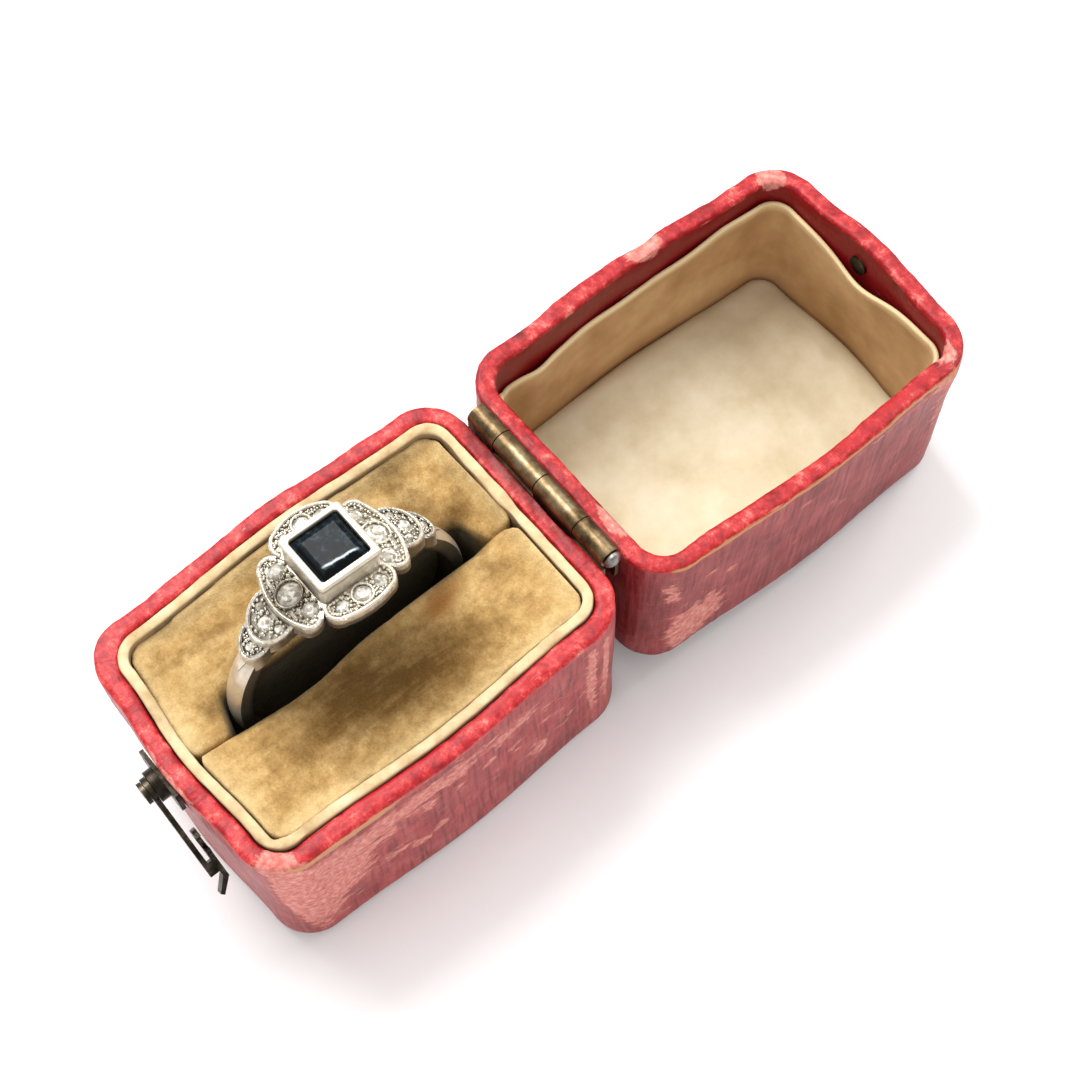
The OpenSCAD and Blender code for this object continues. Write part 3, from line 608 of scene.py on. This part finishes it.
# Cotton velvet, worn: a short soft pile, mottled where it lies over, brown in the middle of the front pad,
# and with a tawny stain.
# Painted shade darkens it where the shank goes in, in the crease along the outer edges, and to nearly black
# down in the slot.
velvet, add, place = material("worn_cotton_velvet")
field = {key: add("Attribute", attribute_name=key, out="Fac")
         for key in ("depth", "dirt_and_shade", "crease_shade", "pale", "stain")}
# Pressed patches about 3 by 5 mm, tufts of 0.8 mm, and pile of 0.15 mm.
laid = add("Mapping", place, rotation=(0.0, 0.0, 0.1), scale=(1000 / 2.8, 1000 / 5.0, 1000 / 4.0))
patch = add("TexNoise", laid, 1.0, 4.0, 0.55)
tufts = add("TexNoise", place, 1000 / 0.8, 4.0, 0.62)
pile = add("TexNoise", place, 1000 / 0.15, 2.0, 0.7)
# Streaks where the pile was stroked along the slot: 0.35 mm wide and 3 mm long.
drawn = add("Mapping", place, rotation=(0.0, 0.0, 0.1), scale=(1000 / 0.35, 1000 / 3.0, 1000 / 3.0))
streaks = add("TexNoise", drawn, 1.0, 3.0, 0.6)
mixed = add("Mix FLOAT", 0.45, patch, tufts)
mottle = add("Mix FLOAT", 0.12, mixed, streaks)
tone = add("ValToRGB", mottle, stops={0.34: "#8c6c3e", 0.5: "#ae8b56", 0.66: "#ccac76"})
paled = add("Math MULTIPLY", field["pale"], mottle)
dull = add("MapRange", mottle, 0.66, 0.36, 0.0, 0.42)
brush = add("MapRange", streaks, 0.35, 0.65, 0.82, 1.15)
brown = add("Math ADD", add("Math MULTIPLY", field["dirt_and_shade"], brush), dull)
browned = add("MapRange", brown, 0.3, 1.25, 0.0, 0.9)
stained = add("MapRange", add("Math MULTIPLY", field["stain"], tufts), 0.08, 0.6, 0.0, 0.7)
# Painted shade: the crease along the outer edges, and below, the slot's walls.
crease_shaded = add("MapRange", add("Math MULTIPLY", field["crease_shade"], tufts), 0.2, 0.55, 0.0, 0.8)
colour = tone
for mask, coat in ((paled, "#dbc290"), (browned, "#583b15"), (stained, "#8f5216"), (crease_shaded, "#5a4420"),
                   (field["depth"], "#140e03")):
    colour = add("Mix RGBA", mask, colour, coat)
tuft = add("Mix RGBA", 0.5, colour, pile, blend_type="SOFT_LIGHT")
nap = add("Bump", height=pile, strength=0.7, distance=0.0001)
waves = add("Bump", height=mottle, strength=0.4, distance=0.0003, normal=nap)
add("OutputMaterial", add("BsdfPrincipled", base_color=tuft, roughness=0.95, specular_ior_level=0.1,
                          sheen_weight=0.25, sheen_roughness=0.5, sheen_tint="#ffe9c0", normal=waves))
for pad in (rear_pad, front_pad, slot_floor):
    pad.data.materials.append(velvet)


# Lid: the same tray turned over on its hinge, so it lies hollow side up and tips down a little to
# where its far edge rests on the table.
axis_y, axis_z = 15.65, 16.75
droop = np.radians(4.1079)
lid_under = -14.65


def lid_to_world(grid):
    """Points from the lid's own frame, hinge axis at the origin and hollow up, to the box's frame:
    turned down by the droop about X, then moved to the axis."""
    c, s = np.cos(droop), np.sin(droop)
    x, y, z = grid[..., 0], grid[..., 1], grid[..., 2]
    return np.stack([x, axis_y + y * c + z * s, axis_z - y * s + z * c], -1)


grid, uv, outside, fields = box_shell(14.5, 1.45)
grid[..., 1] = axis_y - grid[..., 1]
grid[..., 2] += lid_under
local, on_rim = grid.copy(), fields["rim"]
amount = 0.05 * ripple(grid, 7.0, 31) * ramp(grid[..., 2], -14.6, 3)
amount += on_rim * (0.024 * ripple(grid, 1.9, 35) + 0.01 * ripple(grid, 0.8, 38))
amount += (1 - on_rim) * outside * 0.012 * ripple(grid, 1.1, 39)
amount -= spots(grid, (0.3, -10.4, 17.6, -0.1, 1.2, 1.5, 0.9), (0.2, -9.0, 28.6, -0.1, 1.6, 1.4, 0.8),
                (0.2, 4.5, 1.6, -0.1, 2.4, 0.8, 0.8), (0.15, 8.8, 28.4, -0.1, 1.4, 1.4, 0.8))
amount[-inner_rows:] = 0
grid = grid - facing(grid) * np.minimum(amount, most_swell)[..., None]
grid[..., 2] = np.clip(grid[..., 2], lid_under, -0.13)
wear = spots(local, (1.0, -10.3, 17.4, -0.2, 0.9, 1.6, 0.8), (1.0, -9.2, 28.4, -0.2, 1.3, 1.1, 0.7),
             (0.9, 4.8, 2.0, -0.2, 1.7, 0.8, 0.8), (0.8, 8.6, 27.8, -0.2, 1.1, 1.3, 0.7),
             (0.75, 10.8, 5.0, -11.0, 1.2, 3.0, 3.4), (0.5, 10.6, 2.2, -4.0, 1.0, 1.6, 2.4),
             (0.3, 10.8, 24.0, -1.4, 0.8, 8.0, 0.8), (0.45, 10.6, 1.6, -0.3, 1.2, 1.2, 0.7),
             (0.3, 10.8, 27.5, -5.0, 1.6, 1.6, 9.0))
wear += 0.14 * outside * ramp(local[..., 0], 9.0, 0.8)
for y, z in ((6.2, -4.2), (8.2, -6.0), (14.0, -3.0), (17.0, -6.5), (14.3, -9.0), (18.5, -8.0)):
    wear += spots(local, (0.35, 10.8, y, z, 1.5, 0.9, 0.6))
tan = 0.95 * outside * ramp(local[..., 2], -1.0, 0.5) * ramp(local[..., 0], 9.4, 0.8)
red = 0.6 * ramp(local[..., 0], 9.0, 0.5) * on_rim * (1 - outside) * (np.abs(local[..., 1] - 19.5) < 7)
# Painted shade: darker towards the table, on the hinge wall and on the right wall by the hinge, where the two
# halves stand close. A small spot on the -X rim is darkened too.
dirt_and_shade = 0.7 * ramp(local[..., 2], -13.6, -1.0)
dirt_and_shade += spots(local, (0.85, 0, 1.2, -8.0, 9.8, 1.4, 8.0), (0.9, -10.3, 6.2, -0.2, 0.7, 0.6, 0.6),
              (0.55, 10.4, 1.4, -8.0, 1.3, 1.6, 6.0))
lid_leather = surface("lid_leather", lid_to_world(grid),
                      fields | {"wear": wear, "tan": tan, "red": red, "dirt_and_shade": dirt_and_shade}, uv, flip=True)
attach(lid_leather, "lid")
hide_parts("lid_case")
lid_leather.data.materials.append(leather("glazed_leather_lid", ("#741b1e", "#902b2c", "#a5413f"),
                                          ("#800c13", "#a51c22", "#be3635")))


# Lining of the lid's walls: one strip of paper-covered card, bent round inside with its ends lapped
# near the hinge. It springs in from the wall behind the catch's rivet.
points, normals = plan(*box_outline, 640)
lid_points = np.stack([points[:, 0], axis_y - points[:, 1]], 1)
x, y = lid_points.T
springs = spots(lid_points, (0.75, 0.6, 30.4, 2.9, 1.2), (0.28, -10.4, 6.6, 1.0, 1.2))
springs += 0.12 * np.sin(y * 0.5 + 0.6) ** 2
foot, card_height = -11.85, 9.6
lip = np.linspace(0, np.pi, 7)
rise = np.linspace(foot, -2.35, 16)
insets = np.concatenate([np.full(16, 1.42), 1.61 - 0.19 * np.cos(lip), np.full(16, 1.80), [1.42]])
heights = np.concatenate([rise, -2.33 + 0.18 * np.sin(lip), rise[::-1], [foot]])
lift = ramp(heights, foot, card_height)[:, None]
grid = shell(points, normals, insets[:, None] + lift ** 1.5 * springs, heights, np.ones(len(insets)))
wavy = 0.1 * np.sin(y * 0.42 + x * 0.3)
# Its edge lies low along the -X wall and dips again behind the catch.
wavy -= 1.1 * ramp(x, -8.0, -1.4) * ramp(y, 24.0, -7.0) * ramp(y, 1.5, 1.5)
wavy -= spots(lid_points, (1.25, -0.6, 30.6, 3.6, 2.5))
grid[..., 2] += lift ** 3 * wavy
grid[..., 1] = axis_y - grid[..., 1]
edge = np.concatenate([np.zeros(15), np.ones(9), np.zeros(16)])
edge = np.broadcast_to(edge[:, None], grid.shape[:2])
lining = surface("lid_card_lining", lid_to_world(grid),
                 {"edge": edge, "shade": ramp(grid[..., 2], -9.6, -2.0)},
                 lengths(points, grid), flip=True)
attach(lining, "lid")
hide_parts("lid_liner")
# Card under glazed paper: smooth, tan with age, paler at the cut edge and darkened by painted shade near the
# pad.
card, add, place = material("paper_covered_card")
edge = add("Attribute", attribute_name="edge", out="Fac")
shade = add("Attribute", attribute_name="shade", out="Fac")
blotch = add("TexNoise", place, 1000 / 6.0, 5.0, 0.6)
fibre = add("TexNoise", place, 1000 / 0.25, 3.0)
tone = add("ValToRGB", blotch, stops={0.3: "#9f7a4c", 0.5: "#ba9568", 0.7: "#cfb083"})
pale = add("Mix RGBA", edge, tone, "#dcc496")
# Painted shade near the pad.
colour = add("Mix RGBA", add("Math MULTIPLY", shade, blotch), pale, "#7c5226")
tooth = add("Bump", height=fibre, strength=0.35, distance=0.00003)
add("OutputMaterial", add("BsdfPrincipled", base_color=colour, roughness=0.62, normal=tooth))
lining.data.materials.append(card)


# Pad of the lid: cream satin drawn over a thin wad, so it crowns a little in the middle, and glued
# down inside the strip.
half_width, half_length, middle_y = 9.2, 13.6, 15.7
points, normals = plan([(-half_width, 29.2), (-half_width, 2.15), (half_width, 2.15), (half_width, 29.2)],
                       [2.2] * 4, [0.4, 0.0, 0.4, 0.4], 480)
edge_roll = 0.4
over = np.linspace(0, np.pi / 2, 7)
core = np.linspace(1, 0, 24)[1:]
insets = np.concatenate([np.zeros(7), edge_roll * (1 - np.cos(over)), np.full(len(core), edge_roll)])
heights = np.concatenate([np.full(5, -13.0), [-12.9, -12.5], -12.2 + edge_roll * np.sin(over),
                          -11.8 + 0.2 * (1 - core ** 2) ** 0.7])
shrink = np.concatenate([np.linspace(0, 1, 5), np.ones(2 + len(over)), core])
lid_pad = surface("lid_satin_pad", shell(points, normals, insets, heights, shrink))
stuffed(lid_pad, 0.34, 0.22)
place = read_points(lid_pad.data)
place[:, 2] = np.clip(place[:, 2] + 0.02 * ripple(place, 3.0, 51), -13.1, -11.55)
edge = np.minimum(half_width - np.abs(place[:, 0]), half_length - np.abs(place[:, 1] - middle_y))
# Painted shade towards the walls, in the corner where the pad meets the lining.
mark(lid_pad.data, {"crease_shade": ramp(edge, 1.6, -1.6) ** 1.5})
write_points(lid_pad.data, lid_to_world(place))
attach(lid_pad, "lid")
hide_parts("lid_pad")
# Silk satin: a close even weave with a low sheen, and painted shade towards the walls.
satin, add, place = material("cream_silk_satin")
crease_shade = add("Attribute", attribute_name="crease_shade", out="Fac")
blotch = add("TexNoise", place, 1000 / 5.0, 5.0, 0.62)
# Threads 0.12 mm apart in the real cloth are drawn 0.2 mm apart so that they show.
weft, warp = (add("TexWave", vector=place, scale=1000 / 0.2 / 20, distortion=1.5, detail=1.0,
                  bands_direction=way, out="Fac") for way in "YX")
weave = add("Math MULTIPLY", weft, warp)
tone = add("ValToRGB", blotch, stops={0.3: "#bbab88", 0.5: "#cbbd9f", 0.7: "#d6cbb2"})
wall_shade = add("MapRange", add("Math MULTIPLY", crease_shade, blotch), 0.05, 0.6, 0.0, 0.85)
colour = add("Mix RGBA", wall_shade, tone, "#a07a48")
nap = add("Bump", height=weave, strength=0.3, distance=0.00003)
soft = add("Bump", height=blotch, strength=0.4, distance=0.0002, normal=nap)
add("OutputMaterial", add("BsdfPrincipled", base_color=colour, roughness=0.6, sheen_weight=0.2,
                          sheen_roughness=0.4, normal=soft))
lid_pad.data.materials.append(satin)


# Hinge and clasp: rolled and pressed brass, darkened with age and rubbed bright on the high places.
def old_metal(name, dark, mid, light, rough):
    made, add, place = material(name)
    stain = add("TexNoise", place, 1000 / 1.4, 6.0, 0.7)
    lines = add("TexNoise", add("Mapping", place, scale=(1000 / 4.0, 1000 / 0.12, 1000 / 0.12)), 1.0, 2.0)
    tone = add("ValToRGB", stain, stops={0.35: dark, 0.52: mid, 0.72: light})
    gloss = add("MapRange", stain, 0.3, 0.7, rough + 0.16, rough)
    marks = add("Bump", height=lines, strength=0.4, distance=0.00002)
    add("OutputMaterial", add("BsdfPrincipled", base_color=tone, metallic=1.0, roughness=gloss, normal=marks))
    return made


def finish_nodes(made, *names):
    """Put one material in every slot of each node's own object."""
    for name in names:
        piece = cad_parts[name]
        if not piece.material_slots:
            piece.data.materials.append(made)
        for slot in piece.material_slots:
            slot.material = made


finish_nodes(old_metal("darkened_brass", "#4a3b29", "#7d694c", "#a8977e", 0.3),
             "hinge_base_leaf", "hinge_lid_leaf")
finish_nodes(old_metal("blackened_brass", "#1a1712", "#37312a", "#6b6252", 0.34),
             "hook_plate", "hook_lever", "catch_stud")
finish_nodes(old_metal("dull_steel", "#6a6662", "#94908b", "#bcb8b2", 0.28), "hinge_pin")


# Ring: platinum, cast and pierced, soldered into one piece and polished. The recesses have gone dull
# and brown, and the edges stay bright. Thin wires edge the panels, which small raised grains fill.
def ring_to_world(points):
    """Points from the ring's own frame, finger along X and face up, to the box's frame: turned by
    3.6 degrees about X and 3.2 degrees about Y, then moved into the slot."""
    turn, lean = np.radians(3.6), np.radians(3.2)
    x, y, z = points[..., 0], points[..., 1], points[..., 2]
    y, z = y * np.cos(turn) + z * np.sin(turn), z * np.cos(turn) - y * np.sin(turn)
    x, z = x * np.cos(lean) - z * np.sin(lean), z * np.cos(lean) + x * np.sin(lean)
    return np.stack([x - 1.16, y - 0.18, z + 13.9], -1)


def panel_path(apex, sagitta, half, corner_r, corner_at, inset):
    """Path round one panel over +X, seen from above: a corner, the shallow arc and the other corner.
    The arc's radius is (half^2 + sagitta^2) / (2 sagitta)."""
    arc = (half ** 2 + sagitta ** 2) / (2 * sagitta)
    arc_x = apex - arc
    corner_x = arc_x + np.sqrt((arc - corner_r + 0.03) ** 2 - corner_at ** 2)
    meet = np.arctan2(corner_at, corner_x - arc_x)
    bend, bow = np.linspace(meet, 2.2, 60), np.linspace(-meet, meet, 160)
    far = np.stack([corner_x + (corner_r - inset) * np.cos(bend),
                    corner_at + (corner_r - inset) * np.sin(bend)], 1)
    middle = np.stack([arc_x + (arc - inset) * np.cos(bow), (arc - inset) * np.sin(bow)], 1)
    return np.concatenate([far[::-1] * (1, -1), middle, far])


def round_path(centre, radius, start, end):
    """Arc seen from above: centre (x, y), radius and the angles at its ends."""
    angle = np.linspace(start, end, 200)
    return np.stack([centre[0] + radius * np.cos(angle), centre[1] + radius * np.sin(angle)], 1)


def wire(path, face, width, pearl, closed=False):
    """Tube laid on a round face of radius face along a path seen from above. Its radius swells by
    4 percent every pearl mm, and an open tube's ends shrink to points."""
    steps = np.linalg.norm(np.diff(path, axis=0), axis=1)
    along = np.concatenate([[0], np.cumsum(steps)])
    count = int(along[-1] / min(pearl / 6, 0.07)) + 2
    at = np.linspace(0, along[-1], count)
    x, y = (np.interp(at, along, path[:, k]) for k in (0, 1))
    spine = np.stack([x, y, np.sqrt(face ** 2 - y ** 2)], 1)
    outward = spine * (0, 1 / face, 1 / face)
    ahead = np.gradient(spine, axis=0)
    if closed:
        ahead[0] = ahead[-1] = spine[1] - spine[-2]
    aside = np.cross(ahead, outward)
    aside /= np.linalg.norm(aside, axis=1)[:, None]
    thick = width * (1 + 0.04 * np.sin(2 * np.pi * at / pearl))
    if closed:
        thick[-1] = thick[0]
    else:
        thick[[0, -1]] = 0
    angle = np.linspace(0, 2 * np.pi, 10, endpoint=False)[None, :, None]
    across = np.cos(angle) * aside[:, None] + np.sin(angle) * outward[:, None]
    return spine[:, None] + thick[:, None, None] * across


def grain(x, y, face, radius):
    """Small ball on a round face, 6 columns by 5 rows."""
    z = np.sqrt(face ** 2 - y ** 2)
    high = np.linspace(-np.pi / 2, np.pi / 2, 5)[:, None]
    angle = np.linspace(0, 2 * np.pi, 6, endpoint=False)[None]
    ball = np.stack([np.cos(high) * np.cos(angle), np.cos(high) * np.sin(angle),
                     np.sin(high) + 0 * angle], -1)
    return np.array((x, y, z)) + radius * ball


cluster_r, scallop_r, tip_r, collet_r = 10.1, 9.85, 9.58, 11.6
scallop_at, tip_at, collet_half, panel_end = 4.78, 6.24, 2.42, 4.7
side_shape, end_shape = (4.24, 0.92, 2.75, 1.1, 1.5), (4.7, 0.92, 2.9, 0.85, 2.13)
# Stones as the part has them: across the finger, round it, radius and the radius of their face.
spread = [(side, k) for side in (-1, 1) for k in (-1, 0, 1)]
stones = [(side * (3.0 if k else 3.16), k * 1.48, 0.52 if k else 0.66, cluster_r - 0.06)
          for side, k in spread]
stones += [(k * 1.75, side * (3.06 if k else 3.38), 0.6 if k else 0.85, cluster_r - 0.06)
           for side, k in spread]
stones += [(k * 1.02, side * (5.1 if k else 5.5), 0.36 if k else 0.56, scallop_r - 0.06)
           for side, k in spread]
stones += [(0.0, side * 6.86, 0.36, tip_r - 0.06) for side in (-1, 1)]
wires, grains = [], []
pick = np.random.default_rng(12)
for side in (-1, 1):
    wires.append(wire(panel_path(*side_shape, 0.14) * (side, 1), cluster_r, 0.14, 0.24))
    wires.append(wire(panel_path(*end_shape, 0.14)[:, ::-1] * (1, side), cluster_r, 0.14, 0.24))
    scallop = round_path((0, side * scallop_at), 1.64, side * -0.1, side * (np.pi + 0.1))
    tip = round_path((0, side * tip_at), 1.12, side * 0.1, side * (np.pi - 0.1))
    wires += [wire(scallop, scallop_r, 0.12, 0.24), wire(tip, tip_r, 0.11, 0.24)]
    # Rows of grains fill each panel: from just inside its wire towards a root, and face its radius.
    rows = ((panel_path(*side_shape, 0.4) * (side, 1), (side * 2.2, 0.0), cluster_r - 0.03),
            (panel_path(*end_shape, 0.4)[:, ::-1] * (1, side), (0.0, side * 2.2), cluster_r - 0.03),
            (round_path((0, side * scallop_at), 1.34, side * 0.2, side * (np.pi - 0.2))[::3],
             (0.0, side * 4.6), scallop_r - 0.03),
            (round_path((0, side * tip_at), 0.84, side * 0.3, side * (np.pi - 0.3))[::3],
             (0.0, side * 6.3), tip_r - 0.03))
    for path, root, face in rows:
        for share in (0.0, 0.16, 0.32, 0.48, 0.64):
            for x, y in (path * (1 - share) + np.array(root) * share)[::7]:
                x, y = x + pick.uniform(-0.08, 0.08), y + pick.uniform(-0.08, 0.08)
                free = min(np.hypot(x - s[0], y - s[1]) - s[2] for s in stones)
                on_panel = face != cluster_r - 0.03 or abs(y) < panel_end
                if free > -0.06 and max(abs(x), abs(y)) > collet_half and on_panel:
                    grains.append(grain(x, y, face, pick.uniform(0.07, 0.13)))
# Edge of the setting, burnished flat over the stone: a square band 0.45 mm wide.
points, normals = plan([(-2.32, 2.32), (-2.32, -2.32), (2.32, -2.32), (2.32, 2.32)],
                       [0.3] * 4, [0.0] * 4, 240)
band = np.array([(1.0, 11.3), (1.0, 11.64), (0.985, 11.71), (0.955, 11.74), (0.835, 11.76), (0.81, 11.73),
                 (0.8, 11.66), (0.8, 11.3), (1.0, 11.3)])
wires.append(shell(points, normals, np.zeros(9), band[:, 1], band[:, 0]))
for x, y, radius, face in stones:
    if radius > 0.65:
        wires.append(wire(round_path((x, y), radius + 0.03, 0, 2 * np.pi),
                          face + 0.08, 0.08, 60.0, closed=True))
    for k in range(7):
        angle = 2 * np.pi * (k + pick.uniform(-0.2, 0.2)) / 7
        grains.append(grain(x + (radius + 0.04) * np.cos(angle), y + (radius + 0.04) * np.sin(angle),
                            face + 0.06,
                            pick.uniform(0.09, 0.15)))
wires, grains = (merged(woven(name, [ring_to_world(grid) for grid in grids]), 1e-8, turn_out=True)
                 for name, grids in (("ring_wires", wires), ("ring_grains", grains)))
platinum, add, place = material("old_platinum")
haze = add("TexNoise", place, 1000 / 1.1, 5.0, 0.65)
hollow = add("AmbientOcclusion", distance=0.00035, color=(1.0, 1.0, 1.0, 1.0), samples=8, out="AO")
open_air = add("MapRange", hollow, 0.1, 0.7)
bright = add("ValToRGB", haze, stops={0.3: "#c6bba6", 0.5: "#ddd3c1", 0.72: "#efe9dd"})
# Painted shade darkens the finger side of the shank, and the panel over the near shoulder is dull.
from_axis = add("VectorMath SUBTRACT", place, (0.0, -0.00018, 0.0139))
flat = add("VectorMath MULTIPLY", from_axis, (0.0, 1.0, 1.0))
reach = add("VectorMath LENGTH", flat)
# Panels, 9.4 to 10.3 mm from the finger's axis, are engraved all over with cuts 0.3 mm apart.
engraved = add("TexNoise", place, 1000 / 0.3, 3.0, 0.6)
cuts = add("ValToRGB", engraved, stops={0.34: "#a39a87", 0.46: "#c6bfaf", 0.56: "#dad4c6", 0.68: "#f0ece3"})
above = add("MapRange", reach, 0.00935, 0.00945, 0.0, 0.8)
below = add("MapRange", reach, 0.0104, 0.0102)
panel = add("Math MULTIPLY", above, below)
cut = add("Mix RGBA", panel, bright, cuts)
grime_and_shade = add("Mix RGBA", open_air, "#b0a58e", cut)
# Walls under the panels have never been polished, and painted shade turns them brown where the surface faces
# sideways.
outward = add("VectorMath NORMALIZE", flat)
slant = add("VectorMath DOT_PRODUCT", add("NewGeometry", out="Normal"), outward)
low = add("MapRange", reach, 0.01, 0.0097, 0.0, 0.85)
unpolished_and_shaded = add("Math MULTIPLY", add("MapRange", slant, 0.6, 0.25), low)
# Painted shade inside the band.
inside = add("MapRange", reach, 0.0084, 0.00815, 0.0, 0.85)
panel_at = (ring_to_world(np.array((0.3, -3.3, 9.5))) / 1000).tolist()
nearness = add("VectorMath DISTANCE", place, panel_at)
tarnish = add("MapRange", nearness, 0.0024, 0.0010, 0.0, 0.9)
tarnish = add("Math MULTIPLY", tarnish, add("MapRange", haze, 0.3, 0.6, 0.4))
colour = grime_and_shade
for mask, coat in ((unpolished_and_shaded, "#3d3122"), (inside, "#3a3026"), (tarnish, "#3f2f18")):
    colour = add("Mix RGBA", mask, colour, coat)
gloss = add("MapRange", haze, 0.3, 0.7, 0.42, 0.26)
relief = add("MapRange", panel, 0.0, 1.0, 0.12, 0.6)
dents = add("Bump", height=add("Math MULTIPLY", engraved, relief), strength=0.8, distance=0.00009)
add("OutputMaterial", add("BsdfPrincipled", base_color=colour, metallic=0.7, roughness=gloss, normal=dents))
finish_nodes(platinum, "ring")
for piece in (wires, grains):
    piece.data.materials.append(platinum)
    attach(piece, "base")


# Sapphire: corundum, so dark a blue that it is nearly black, cut square in steps and set in the band.
# The table is scratched dull and greyed by painted reflection, and a painted highlight lies along the step's
# edge towards +X.
sapphire, add, place = material("dark_sapphire")
table_at = ring_to_world(np.array((0.0, 0.0, collet_r + 0.13)))
offset = add("VectorMath SUBTRACT", place, (table_at / 1000).tolist())
axes = [ring_to_world(np.eye(3)[k]) - ring_to_world(np.zeros(3)) for k in range(3)]
across, along, high = (add("VectorMath DOT_PRODUCT", offset, (axis * 1000).tolist()) for axis in axes)
rubs = add("TexNoise", place, 1000 / 0.55, 5.0, 0.65)
table = add("ValToRGB", rubs, stops={0.4: "#060a0d", 0.54: "#10181c", 0.7: "#354349"})
flat_top = add("MapRange", high, -0.06, -0.02)
# Painted reflection: the facets towards -X and +Y get the same grey as the table, and the other two stay
# black.
left = add("MapRange", across, -1.1, -1.25, 0.0, 0.8)
back = add("MapRange", along, 1.1, 1.25, 0.0, 0.8)
faceted = add("Mix RGBA", add("Math MAXIMUM", flat_top, add("Math MAXIMUM", left, back)), "#04070a", table)
# Painted highlight: a pale line along the step's edge towards +X.
drift = add("Math ADD", add("Math MULTIPLY", along, 0.1), add("Math MULTIPLY", rubs, 0.25))
distance = add("Math ABSOLUTE", add("Math SUBTRACT", add("Math SUBTRACT", across, drift), 0.98))
highlight_line = add("MapRange", distance, 0.12, 0.03)
ends = add("MapRange", add("Math ABSOLUTE", along), 1.35, 1.0)
colour = add("Mix RGBA", add("Math MULTIPLY", highlight_line, ends), faceted, "#b7c2c6")
add("OutputMaterial", add("BsdfPrincipled", base_color=colour, roughness=0.2, specular_ior_level=0.1))
finish_nodes(sapphire, "sapphire")


# Diamonds: old cut, dulled by soap and skin, and held in pierced seats by grains raised round them.
# Painted glints flash white and grey at random on their small facets.
diamond, add, place = material("old_cut_diamond")
flashes = add("TexVoronoi", place, 1000 / 0.22, out="Color")
shine = add("SeparateColor", flashes)
tone = add("ValToRGB", shine, stops={0.1: "#857e6e", 0.35: "#a59e8f", 0.6: "#c1bbae", 0.85: "#ebe8e0"})
nearness = add("VectorMath DISTANCE", place, panel_at)
darkened_mix = add("MapRange", nearness, 0.0026, 0.0012, 0.0, 0.5)
colour = add("Mix RGBA", darkened_mix, tone, "#5a4a30")
add("OutputMaterial", add("BsdfPrincipled", base_color=colour, roughness=0.26, ior=1.8))
finish_nodes(diamond, *["diamond_%02d" % number for number in range(1, 21)])
